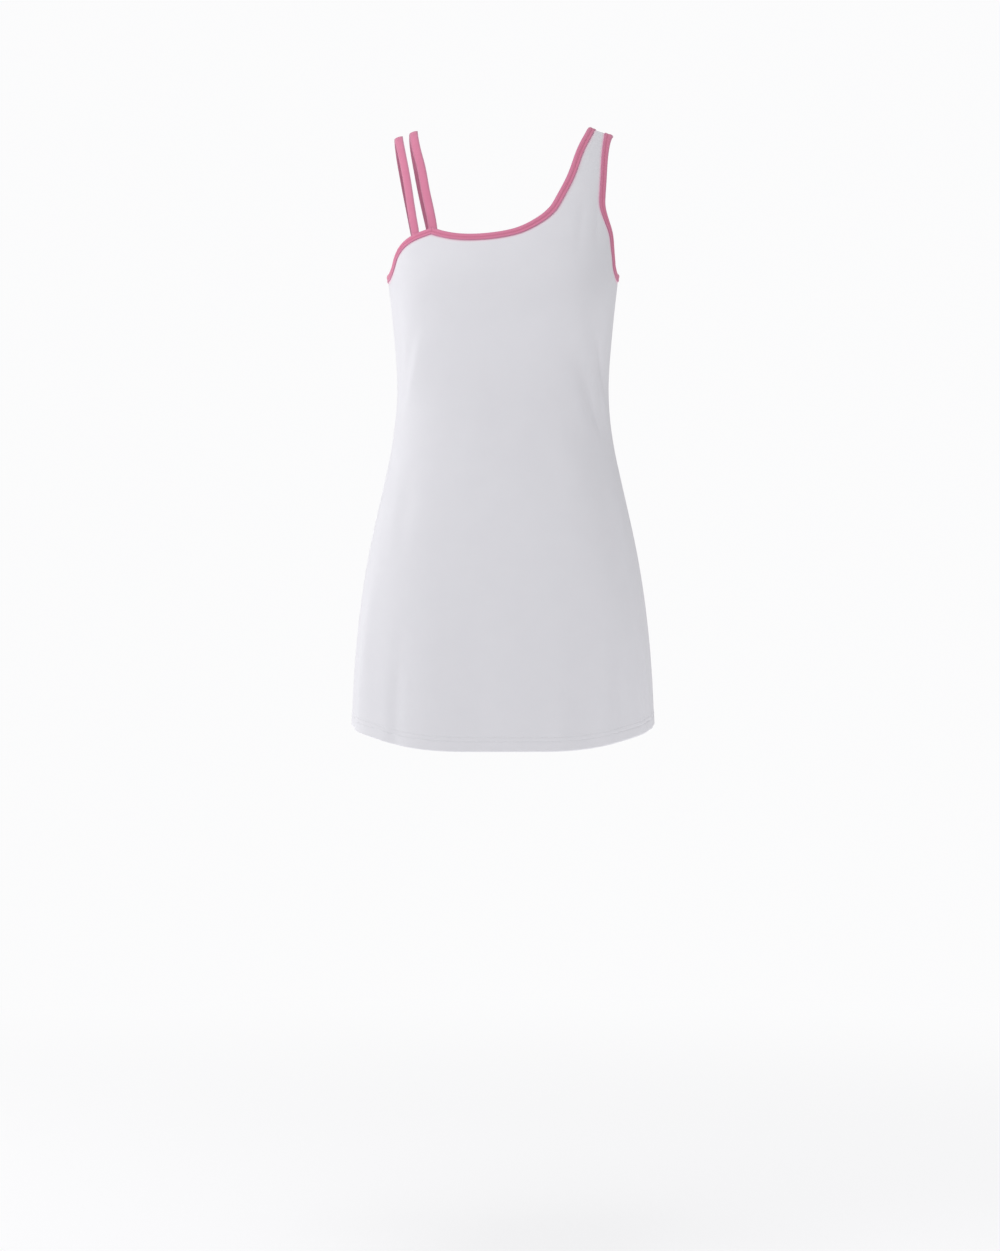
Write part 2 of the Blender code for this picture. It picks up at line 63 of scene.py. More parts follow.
# Hem: its drop at the centre, and how far it rises from there to the side seams
HEM_DROP = 791 * MM
HEM_RISE = 30 * MM
HEM_LEVEL_TO = np.radians(14)
HEM_TURN_UP = 19 * MM
HEM_BAND = 26 * MM
HEM_STITCH_ROWS = (12 * MM, 17.2 * MM)
HEM_STITCH_DENT = 0.32 * MM
HEM_STITCH_DENT_WIDTH = 0.8 * MM
HEM_SWELL = 0.35 * MM
HEM_SWELL_FADE = 2.2 * MM
HEM_FOLD_SPACE = 0.15 * MM
HEM_FOLD_POINTS = 7
HEM_INNER_HEIGHTS = (19.0, 18.2, 17.2, 15.0, 12.0, 9.0, 6.0, 3.6, 1.8)
HEM_OUTER_HEIGHTS = (
    1.2, 2.2, 3.6, 5.2, 6.8, 8.4, 9.8, 10.8, 11.4, 11.8, 12.2, 12.6, 13.2, 14.2, 15.2, 16.0,
    16.6, 17.0, 17.4, 17.8, 18.4, 19.2, 20.2, 21.4, 23.0, 24.5, 26.0,
)

# Horizontal sections of the worn form, from the shoulders down
SECTION_COLUMNS = ("drop", "half_width", "front_depth", "back_depth",
                   "front_fullness", "back_fullness", "seam_turn")
SECTIONS = (
    (0, 152.0, 0, 0, 0.10, 0.10, 90),
    (5, 152.2, 25, 25, 0.11, 0.11, 90),
    (20, 152.5, 45, 45, 0.12, 0.12, 90),
    (60, 152.5, 68, 72, 0.14, 0.16, 90),
    (100, 151.0, 82, 84, 0.16, 0.18, 90),
    (150, 149.0, 103, 88, 0.20, 0.18, 90),
    (190, 147.0, 118, 87, 0.24, 0.18, 90),
    (225, 143.2, 119, 84, 0.24, 0.16, 89),
    (270, 138.8, 108, 79, 0.20, 0.14, 88),
    (330, 135.2, 96, 77, 0.16, 0.13, 86),
    (390, 139.8, 95, 84, 0.14, 0.14, 84),
    (460, 153.9, 101, 104, 0.13, 0.16, 83),
    (540, 171.4, 107, 124, 0.12, 0.16, 82),
    (620, 183.8, 112, 131, 0.12, 0.14, 81),
    (700, 191.0, 117, 135, 0.12, 0.12, 80),
    (800, 195.0, 123, 139, 0.12, 0.12, 80),
)

# Cut edges: turn in degrees, drop in millimetres; a negative drop is over the shoulder
FRONT_NECK = (
    (-31.6, 135.4), (-25, 141), (-17, 144.8), (-9, 145.1), (-1, 142.5), (6, 137.3), (13, 127),
    (19.9, 111.6), (25, 90.5), (29.3, 70.5), (32.7, 50), (37, 27.5), (40.4, 13.5), (44.5, 0),
)
BACK_NECK = (
    (-30, 156), (-23, 160.5), (-14, 163), (-4, 162), (6, 156.5), (15, 145), (23, 126),
    (30, 99), (35.5, 68), (39.5, 36), (44.5, 0),
)
RIGHT_UNDERARM = (
    (-31.6, 135.4), (-40, 140.8), (-47.5, 147), (-53, 153.5), (-57, 160), (-60.2, 167),
    (-63, 174.5), (-65.8, 181), (-71, 186), (-79, 187), (-90, 185.5), (-104, 183), (-116, 177),
    (-127, 169.5), (-138.5, 162), (-150, 156),
)
LEFT_ARMHOLE_FRONT = (
    (65, 0), (59, 18), (55.8, 45), (54, 80), (54.8, 110), (60, 128), (63.3, 142), (64.7, 158),
    (66.3, 171), (68, 180), (72.5, 185.5), (80, 186), (90, 184),
)
LEFT_ARMHOLE_BACK = (
    (65, 0), (59, 18), (55.2, 45), (53.5, 80), (54, 110), (58, 135), (63, 153), (70, 169),
    (79, 180), (90, 184),
)
INNER_STRAP = (
    (-31.3, 142), (-33, 116.5), (-36.1, 86), (-39, 55), (-42.1, 33), (-44.8, 12), (-46.4, 0),
    (-45.8, -15), (-43.4, -35), (-38.6, -75), (-33.6, -125), (-30.6, -163.5),
)
OUTER_STRAP = (
    (-42.8, 150), (-43.5, 132), (-46, 103), (-48.8, 71), (-52.3, 42), (-56.1, 18), (-59.8, 0),
    (-58.3, -18), (-54.3, -45), (-49, -85), (-44.4, -130), (-40.4, -169),
)

# Folds: a line from a top point to a foot point, a width and a height along the cloth's
# outward side, and whether the height is still there at the foot
FOLD_COLUMNS = ("top_turn", "top_drop", "foot_turn", "foot_drop", "width", "height", "to_foot")
FOLDS = (
    (-33, 250, -62, 395, 17, 1.8, 0),
    (-49, 235, -72, 345, 13, 1.5, 0),
    (36, 232, 60, 372, 17, 1.8, 0),
    (33, 300, 52, 420, 15, 1.5, 0),
    (-66, 500, -62, 800, 26, 4.5, 1),
    (50, 540, 62, 800, 26, 4.5, 1),
    (-26, 560, -24, 800, 30, 2.4, 1),
    (8, 580, 6, 800, 28, 2.0, 1),
    (30, 520, 33, 800, 24, -2.2, 1),
    (-150, 600, -146, 800, 30, 5.0, 1),
    (-118, 560, -116, 800, 26, 4.0, 1),
    (180, 640, 180, 800, 28, -3.5, 1),
    (150, 600, 147, 800, 30, 5.0, 1),
    (118, 560, 115, 800, 26, 4.0, 1),
    (128, 260, 150, 350, 18, -2.2, 0),
    (-128, 260, -150, 350, 18, -2.2, 0),
)

# Smaller creases of the worn cloth, in the same columns
CREASES = (
    (-58, 262, -76, 352, 7, -2.0, 0),
    (-41, 262, -62, 372, 9, 2.2, 0),
    (52, 262, 68, 348, 7, -2.0, 0),
    (44, 318, 60, 405, 8, -1.8, 0),
    (60, 300, 72, 400, 9, 1.8, 0),
    (47.5, 98, 45.5, 168, 3, -1.1, 0),
    (38, 96, 33, 170, 6, -0.7, 0),
    (-12, 330, -14, 470, 22, 1.5, 0),
    (18, 360, 20, 500, 20, -1.4, 0),
    (-48, 420, -46, 560, 18, -1.8, 0),
    (64, 430, 60, 560, 14, 1.6, 0),
    (-80, 330, -84, 420, 8, 0.9, 0),
    (82, 320, 86, 430, 8, -0.9, 0),
    (58, 520, 74, 800, 9, 2.6, 1),
    (72, 470, 81, 740, 9, -1.2, 0),
    (-40, 620, -41, 800, 12, -2.2, 1),
    (20, 640, 19, 800, 13, 1.8, 1),
    (-8, 660, -8, 800, 12, -1.7, 1),
    (46, 650, 45, 800, 11, -2.0, 1),
    (-62, 560, -68, 800, 12, 2.4, 1),
    (150, 205, 166, 262, 9, -1.0, 0),
    (-150, 205, -166, 262, 9, -1.0, 0),
    (140, 300, 160, 372, 8, 0.9, 0),
    (-142, 306, -163, 380, 8, 0.9, 0),
    (172, 380, 168, 520, 18, -1.0, 0),
    (-168, 420, -166, 560, 20, 1.0, 0),
    (166, 680, 165, 800, 12, 1.0, 1),
    (-166, 700, -165, 800, 12, 1.0, 1),
    (133, 690, 132, 800, 11, -1.0, 1),
    (-133, 680, -132, 800, 11, -1.0, 1),
)

# Side and shoulder seams draw the cloth in a little
SEAM_DIP = 0.55 * MM
SEAM_DIP_WIDTH = 1.6 * MM
SHOULDER_SEAM_DIP = 0.4 * MM

# Grid of a panel in the solids, and how much finer the cloth's is
COLUMNS = 32
BODY_ROWS = 26
CHEST_ROWS = 8
STRAP_ROWS = 12
UNDERARM_COLUMNS = 4
WIDE_STRAP_COLUMNS = 5
CHEST_COLUMNS = COLUMNS - 2 * UNDERARM_COLUMNS
NECK_COLUMNS = CHEST_COLUMNS - WIDE_STRAP_COLUMNS
STRAP_STATIONS = 44
SHOULDER_CROWD = 1.6
SEAM_CROWD = 1.8
FINENESS = 4
BINDING_FINENESS = 6
EDGE_READINGS = 600
NEAREST_AT_ONCE = 4000

# How far along its run each edge passes from one block of a panel to the next
NECK_SPLIT = 0.56
LEFT_UNDERARM_SPLIT = 0.74
LEFT_STRAP_SPLIT = 0.40
RIGHT_UNDERARM_SPLIT = 0.32

# The straps pass behind the bindings, and leave their level on the form within this length
STRAP_TUCK = WALL / 2 + SEAM_GAP + LEAF + 1.5 * SEAM_GAP + STRAP_THICKNESS / 2
STRAP_TUCK_FLAT = 9 * MM
STRAP_TUCK_END = 34 * MM

# Section of a folded binding in millimetres, on one side of the cloth, from its free edge to its
# fold: way in from the cut edge and height over the middle of the cloth. Its sewing draws it down
# in a groove.
BINDING_SECTION = (
    (7.95, 0.72), (8.28, 0.95), (8.30, 1.30), (8.00, 1.64), (7.40, 1.90), (6.60, 2.02),
    (5.80, 1.98), (5.20, 1.84), (4.75, 1.68), (4.35, 1.62), (3.95, 1.70), (3.40, 1.90),
    (2.80, 2.10), (1.95, 2.24), (1.05, 2.18), (0.25, 1.98), (-0.45, 1.64), (-0.95, 1.20),
    (-1.24, 0.74), (-1.35, 0.26),
)
BINDING_FOLD = (-1.36, 0.0)
BINDING_GAP_SIDE = ((-0.3, 0.66), (7.9, 0.66))
BINDING_STITCH_ROW = 4.35
BINDING_STITCH_HEIGHT = 1.66
# Painted shade on a binding: darker below the groove height, full colour from the roll height, and
# duller beyond the edge distance from the middle, over the edge reach, where the rounded edges turn
# from the light.
BINDING_GROOVE_HEIGHT = 1.55
BINDING_ROLL_HEIGHT = 2.0
BINDING_MIDDLE = 3.5
BINDING_EDGE_FROM = 3.1
BINDING_EDGE_REACH = 1.6
BINDING_UNEVENNESS = 0.05

# Half of a strap's section in millimetres, from its middle to its edge: way across and height.
# It is a plump roll with its sewing near one edge, and is pressed flatter where it is tucked and
# sewn down.
STRAP_SECTION = (
    (0.0, 1.56), (1.1, 1.52), (2.1, 1.42), (3.0, 1.26), (3.8, 1.05), (4.5, 0.82), (5.1, 0.58),
    (5.5, 0.36), (5.68, 0.16),
)
STRAP_PRESSED = 0.38
STRAP_UNEVENNESS = 0.06
# Painted shade on a strap: darker down its low sides towards the low height, full colour from the
# roll height, and duller at its rounded edges beyond the edge distance from the middle.
STRAP_LOW_HEIGHT = 0.0
STRAP_ROLL_HEIGHT = 1.4
STRAP_MIDDLE = 0.0
STRAP_EDGE_FROM = 3.3
STRAP_EDGE_REACH = 2.2
STRAP_STITCH_ROW = 4.3
STRAP_STITCH_HEIGHT = 0.93

# Slow waves of a sewn strip: the length of each, and where it starts
UNEVEN_WAVES = (23.0 * MM, 41.0 * MM, 9.5 * MM)
UNEVEN_STARTS = (0.0, 1.7, 4.1)

# Sewing thread: each stitch has rings at a share of its length, with a share of the thread's
# radius, lifted by a share of it
STITCH_PITCH = 2.6 * MM
STITCH_COVER = 0.74
THREAD_RADIUS = 0.17 * MM
THREAD_LIFT = 0.03 * MM
HEM_STITCH_PITCH = 3.0 * MM
STITCH_RINGS = ((0.0, 0.35, -0.9), (0.22, 0.95, 0.15), (0.78, 0.95, 0.15), (1.0, 0.35, -0.9))
STITCH_SIDES = 6

# Colours, as linear values
WHITE = (0.790, 0.785, 0.820, 1.0)
# The deeper white is painted shade in the valleys between the loops, and a real change of tone in
# slow clouds.
WHITE_SHADE_AND_CLOUD = (0.735, 0.728, 0.770, 1.0)
PINK = (0.735, 0.255, 0.395, 1.0)
# The deeper pink is painted shade in the knit's valleys, in the binding's groove and on a strap's
# low sides, and a real change of tone in slow clouds. The edge pink is painted shade where the
# rounded edges turn from the light.
PINK_SHADE_AND_CLOUD = (0.60, 0.16, 0.27, 1.0)
PINK_EDGE_SHADE = (0.57, 0.21, 0.34, 1.0)
STRAP_PINK = (0.725, 0.25, 0.385, 1.0)
# The strap's deeper pink and edge pink are painted shade in the same places, and the deeper one
# carries real clouds of tone too.
STRAP_PINK_SHADE_AND_CLOUD = (0.62, 0.175, 0.295, 1.0)
STRAP_PINK_EDGE_SHADE = (0.58, 0.24, 0.35, 1.0)
# Painted reflection: pale pink light thrown from the bindings onto the white cloth close to them,
# with its reach and share.
PINK_BOUNCE = (0.95, 0.60, 0.72, 1.0)
PINK_BOUNCE_REACH = 2.0 * MM
PINK_BOUNCE_SHARE = 0.75

# Knit: width of a wale and height of a course
JERSEY_WALE = 0.62 * MM
JERSEY_COURSE = 0.50 * MM
BINDING_WALE = 0.70 * MM
BINDING_COURSE = 0.55 * MM

# Relief of the knit: slant of a loop's legs, shares of its loops and ribs, and its mean and depth
LEG_SLANT = 1.3
LOOP_SHARE = 0.35
RIB_SHARE = 0.5
LOOP_MEAN = 0.4
LOOP_DEPTH = 0.08 * MM
CLOUD_SIZE = 30.0

# Finish of the knit: how far painted shade in the valleys between the loops, and real clouds of
# tone, deepen its colour, and its roughness
VALLEY_PAINTED_SHADE = 0.3
CLOUD_DEEPENS = 0.5
KNIT_ROUGHNESS = (0.74, 0.90)
KNIT_SHEEN_ROUGHNESS = 0.5
KNIT_SPECULAR = 0.25
JERSEY_LOOPS = 0.25
JERSEY_SHEEN = 0.12
STRIP_LOOPS = 0.5
STRIP_SHEEN = 0.25

# Finish of the thread
THREAD_DARKER = 0.8
THREAD_TWIST_SCALE = 2400.0
THREAD_TWIST_STRENGTH = 0.3
THREAD_TWIST_DEPTH = 0.05 * MM
THREAD_ROUGHNESS = 0.6
THREAD_SHEEN = 0.2

# Studio
CAMERA_PLACE = (-0.0039, -3.80, -0.634)
LENS = 85
SENSOR = 36
FLOOR_LEVEL = -1.47
FLOOR_HALF = 30.0
FLOOR_FADE = (0.5, 3.2)
FLOOR_PALE = (0.50, 0.50, 0.505, 1.0)
FLOOR_GLOW = (0.60, 0.60, 0.605, 1.0)
ROOM_WHITE = (0.97, 0.97, 0.975, 1.0)
ROOM_LIGHT = (0.296, 0.296, 0.304, 1.0)
BLACK = (0.0, 0.0, 0.0, 1.0)
FLOOR_ROUGHNESS = 0.9

# Lamps: name, place, what each aims at, width and power
LAMPS = (
    ("key", (-2.7, -1.7, 0.0), (0.0, 0.0, -0.45), 0.9, 25),
    ("top", (-0.25, -0.8, 2.2), (0.0, 0.0, -0.1), 1.2, 32),
    ("left_rim", (-2.2, 1.0, -0.7), (0.0, 0.0, -0.6), 1.4, 16),
    ("right_low", (1.2, -0.4, -1.32), (0.17, 0.0, -0.78), 0.3, 3.4),
)


def smooth_curve(knots, values):
    """Natural cubic spline through the values, given as a function of the knots' measure."""
    knots = np.asarray(knots, float)
    values = np.asarray(values, float)
    gaps = np.diff(knots)
    slopes = np.diff(values) / gaps
    inner = np.arange(1, len(knots) - 1)
    system = np.eye(len(knots))
    system[inner, inner - 1] = gaps[:-1]
    system[inner, inner] = 2 * (gaps[:-1] + gaps[1:])
    system[inner, inner + 1] = gaps[1:]
    loads = np.zeros(len(knots))
    loads[inner] = 6 * np.diff(slopes)
    bends = np.linalg.solve(system, loads)

    def at(measure):
        i = np.clip(np.searchsorted(knots, measure) - 1, 0, len(gaps) - 1)
        after = measure - knots[i]
        before = knots[i + 1] - measure
        bent = (bends[i] * before ** 3 + bends[i + 1] * after ** 3) / (6 * gaps[i])
        low = (values[i] / gaps[i] - bends[i] * gaps[i] / 6) * before
        high = (values[i + 1] / gaps[i] - bends[i + 1] * gaps[i] / 6) * after
        return bent + low + high

    return at


def reach_of(drop):
    """Way down the rounded shoulder for a drop: root of (drop + r) squared less r squared."""
    size = np.abs(drop)
    return np.sign(drop) * np.sqrt((size + SHOULDER_ROUND) ** 2 - SHOULDER_ROUND ** 2)


def drop_of(reach):
    """Drop for a way down the shoulder: root of reach squared plus r squared, less r."""
    return np.sqrt(reach ** 2 + SHOULDER_ROUND ** 2) - SHOULDER_ROUND


def section_curves():
    """One smooth curve over the reach for each column of the sections."""
    rows = np.array(SECTIONS, float)
    reach = reach_of(rows[:, 0] * MM)
    lengths = ("half_width", "front_depth", "back_depth")
    curves = {}
    for index, name in enumerate(SECTION_COLUMNS[1:], start=1):
        scale = MM if name in lengths else 1.0
        curves[name] = smooth_curve(reach, rows[:, index] * scale)
    return curves


SECTION = section_curves()


def plain_point(turn, reach):
    """The form without folds.

    Across is half width times sine, forward is depth times cosine, each made fuller between the
    middle and the side. Near the top the height falls away from the neck to the shoulder points.
    """
    turn = np.where(reach < 0, np.pi - turn, turn)
    reach = np.abs(reach)
    sine = np.sin(turn)
    cosine = np.cos(turn)
    front = cosine >= 0
    fullness = np.where(front, SECTION["front_fullness"](reach), SECTION["back_fullness"](reach))
    depth = np.where(front, SECTION["front_depth"](reach), SECTION["back_depth"](reach))
    across = SECTION["half_width"](reach) * sine * (1 + fullness * cosine ** 2)
    forward = depth * cosine * (1 + fullness * sine ** 2)
    drop = drop_of(reach)
    fade = np.exp(-(drop / SHOULDER_FALL_REACH) ** 2)
    level_at = np.hypot(SHOULDER_FALL_FROM, NECK_ROUND)
    spread = np.hypot(across, NECK_ROUND) - level_at
    lower = RIGHT_SHOULDER_LOWER * (1 - np.tanh(across / NECK_ROUND)) / 2
    return np.stack([across, -forward, -drop - fade * (SHOULDER_FALL * spread + lower)], axis=-1)


def slopes_of(surface, turn, reach):
    """Central differences of a surface: metres per radian of turn and per metre of reach."""
    small_turn = 0.002
    small_reach = 0.3 * MM
    along_turn = surface(turn + small_turn, reach) - surface(turn - small_turn, reach)
    along_reach = surface(turn, reach + small_reach) - surface(turn, reach - small_reach)
    return along_turn / (2 * small_turn), along_reach / (2 * small_reach)


def outward(surface, turn, reach):
    """Unit normal of a surface, away from the body: slope down it crossed with slope round it."""
    along_turn, along_reach = slopes_of(surface, turn, reach)
    normal = np.cross(along_reach, along_turn)
    return normal / np.linalg.norm(normal, axis=-1, keepdims=True)


def wrapped(turn):
    """A turn brought to the half turn on either side of the centre front."""
    return (turn + np.pi) % (2 * np.pi) - np.pi


def fold_height(turn, reach):
    """Sum of the folds and creases: a bell across each line, times a sine arch along it."""
    drop = drop_of(reach) * np.where(reach < 0, -1, 1)
    height = np.zeros(np.broadcast(turn, reach).shape)
    width = SECTION["half_width"](np.abs(reach))
    for row in FOLDS + CREASES:
        fold = dict(zip(FOLD_COLUMNS, row))
        top = fold["top_drop"] * MM
        foot = fold["foot_drop"] * MM
        way = np.clip((drop - top) / (foot - top), 0, 1)
        centre = np.radians(fold["top_turn"] + (fold["foot_turn"] - fold["top_turn"]) * way)
        beside = wrapped(turn - centre) * width
        rise = np.sin(way * np.pi / 2) if fold["to_foot"] else np.sin(way * np.pi)
        height += fold["height"] * MM * rise * np.exp(-(beside / (fold["width"] * MM)) ** 2)
    return height


def seam_height(turn, reach):
    """The seams' dips: a narrow bell across each side seam and across the shoulder seam."""
    width = SECTION["half_width"](np.abs(reach))
    around = np.abs(wrapped(turn))
    beside = (around - np.radians(SECTION["seam_turn"](np.abs(reach)))) * width
    side = np.exp(-(beside / SEAM_DIP_WIDTH) ** 2) * (reach > 0)
    top = np.exp(-(reach / SEAM_DIP_WIDTH) ** 2) * (np.sin(turn) > 0)
    return -SEAM_DIP * side - SHOULDER_SEAM_DIP * top


def cloth_point(turn, reach):
    """The cloth's middle surface: the plain form moved outwards by folds and seams."""
    turn, reach = np.broadcast_arrays(turn, reach)
    lift = (fold_height(turn, reach) + seam_height(turn, reach))[..., None]
    return plain_point(turn, reach) + lift * outward(plain_point, turn, reach)


def hem_reach(turn):
    """The hem is level at the centre and rises to the sides by a sine squared of the turn."""
    off_centre = np.abs(np.arcsin(np.sin(turn)))
    share = np.clip((off_centre - HEM_LEVEL_TO) / (np.pi / 2 - HEM_LEVEL_TO), 0, 1)
    return reach_of(HEM_DROP - HEM_RISE * np.sin(share * np.pi / 2) ** 2)


def way_along(points):
    """Length along a line of points, from 0 at the first."""
    return np.concatenate([[0], np.cumsum(np.linalg.norm(np.diff(points, axis=0), axis=1))])


def edge_run(rows, segments, first=0.0, last=None, crowd=1.0):
    """Places along the smooth line through a table's rows, evenly spaced on the cloth.

    first and last are row numbers, and may lie between two rows. The places are closer together
    towards the last one where crowd is more than 1.
    """
    rows = np.array(rows, float)
    turn = np.radians(rows[:, 0])
    reach = reach_of(rows[:, 1] * MM)
    knots = way_along(cloth_point(turn, reach))
    turn_at = smooth_curve(knots, turn)
    reach_at = smooth_curve(knots, reach)
    numbers = np.arange(len(rows))
    ends = np.interp([first, numbers[-1] if last is None else last], numbers, knots)
    fine = np.linspace(ends[0], ends[1], EDGE_READINGS)
    length = way_along(cloth_point(turn_at(fine), reach_at(fine)))
    share = 1 - np.linspace(1, 0, segments + 1) ** crowd
    measure = np.interp(share * length[-1], length, fine)
    return np.stack([turn_at(measure), reach_at(measure)], axis=-1)


class Face:
    """The front or the back half of the form, with turns counted from its own centre."""

    def __init__(self, is_front):
        self.is_front = is_front

    def turn(self, places):
        """Turn round the whole form: the place's own, or the half turn less it at the back."""
        return places[..., 0] if self.is_front else np.pi - places[..., 0]

    def point(self, places):
        """Point of the cloth's middle surface at each place."""
        return cloth_point(self.turn(places), places[..., 1])

    def normal(self, places):
        """Unit normal of the cloth at each place, away from the body."""
        return outward(cloth_point, self.turn(places), places[..., 1])

    def seam_turn(self, reach):
        """Turn of this panel's side edge, just short of the side seam."""
        seam = np.radians(SECTION["seam_turn"](reach))
        depth = SECTION["front_depth" if self.is_front else "back_depth"](reach)
        return (seam if self.is_front else np.pi - seam) - PANEL_GAP / depth

    def step(self, places, vectors):
        """Move places on the cloth by vectors that lie along it."""
        along_turn, along_reach = slopes_of(cloth_point, self.turn(places), places[..., 1])
        if not self.is_front:
            along_turn = -along_turn
        tt = np.sum(along_turn * along_turn, axis=-1)
        rr = np.sum(along_reach * along_reach, axis=-1)
        tr = np.sum(along_turn * along_reach, axis=-1)
        vt = np.sum(vectors * along_turn, axis=-1)
        vr = np.sum(vectors * along_reach, axis=-1)
        share = tt * rr - tr * tr
        moved = np.stack([(vt * rr - vr * tr) / share, (vr * tt - vt * tr) / share], axis=-1)
        return places + moved


def directions(points):
    """Unit directions of the stretches before and after each point of a line."""
    ways = np.diff(points, axis=0)
    ways = ways / np.linalg.norm(ways, axis=1, keepdims=True)
    return np.concatenate([ways[:1], ways]), np.concatenate([ways, ways[-1:]])


def inner_line(face, edge, side):
    """The line one binding width inside a cut edge, mitred where the edge turns a corner."""
    points = face.point(edge)
    normals = face.normal(edge) * (1 if face.is_front else -1)
    before, after = directions(points)
    inward = [side * np.cross(way, normals) for way in (before, after)]
    middle = inward[0] + inward[1]
    middle = middle / np.linalg.norm(middle, axis=1, keepdims=True)
    mitre = np.sum(middle * inward[0], axis=1, keepdims=True)
    return face.step(edge, middle * BINDING_WIDTH / mitre)


def coons(bottom, top, left, right):
    """Places of a four-sided block: the two ruled blends of its sides, less that of its corners."""
    up = np.linspace(0, 1, len(left))[:, None, None]
    over = np.linspace(0, 1, len(bottom))[None, :, None]
    ruled_up = (1 - up) * bottom[None] + up * top[None]
    ruled_over = (1 - over) * left[:, None] + over * right[:, None]
    corners = (1 - up) * ((1 - over) * bottom[0] + over * bottom[-1])
    corners = corners + up * ((1 - over) * top[0] + over * top[-1])
    return ruled_up + ruled_over - corners


def straight(start, end, segments):
    """Places evenly between two places."""
    share = np.linspace(0, 1, segments + 1)[:, None]
    return start + (end - start) * share


def chain(*runs):
    """Runs that meet end to end, as one line."""
    return np.concatenate([runs[0]] + [run[1:] for run in runs[1:]])


def refined(line, stations, corner=None):
    """A coarse line read at finer station numbers, by a spline on each side of its corner."""
    numbers = np.arange(len(line))
    breaks = [0, len(line) - 1] if corner is None else [0, corner, len(line) - 1]
    parts = []
    for start, end in zip(breaks[:-1], breaks[1:]):
        wanted = stations[(stations >= start) & (stations <= end)]
        if start:
            wanted = wanted[1:]
        run = slice(start, end + 1)
        columns = [smooth_curve(numbers[run], line[run, i])(wanted) for i in range(line.shape[1])]
        parts.append(np.stack(columns, axis=-1))
    return np.concatenate(parts)


def station_numbers(counts, fineness, crowded_start):
    """Finer station numbers for runs of the given counts, crowded towards the seam in the first."""
    total = sum(counts)
    numbers = np.linspace(0, total, total * fineness + 1)
    if crowded_start:
        first = counts[0]
        share = np.linspace(0, 1, first * fineness + 1)
        numbers[:first * fineness + 1] = first * share ** SEAM_CROWD
    return numbers


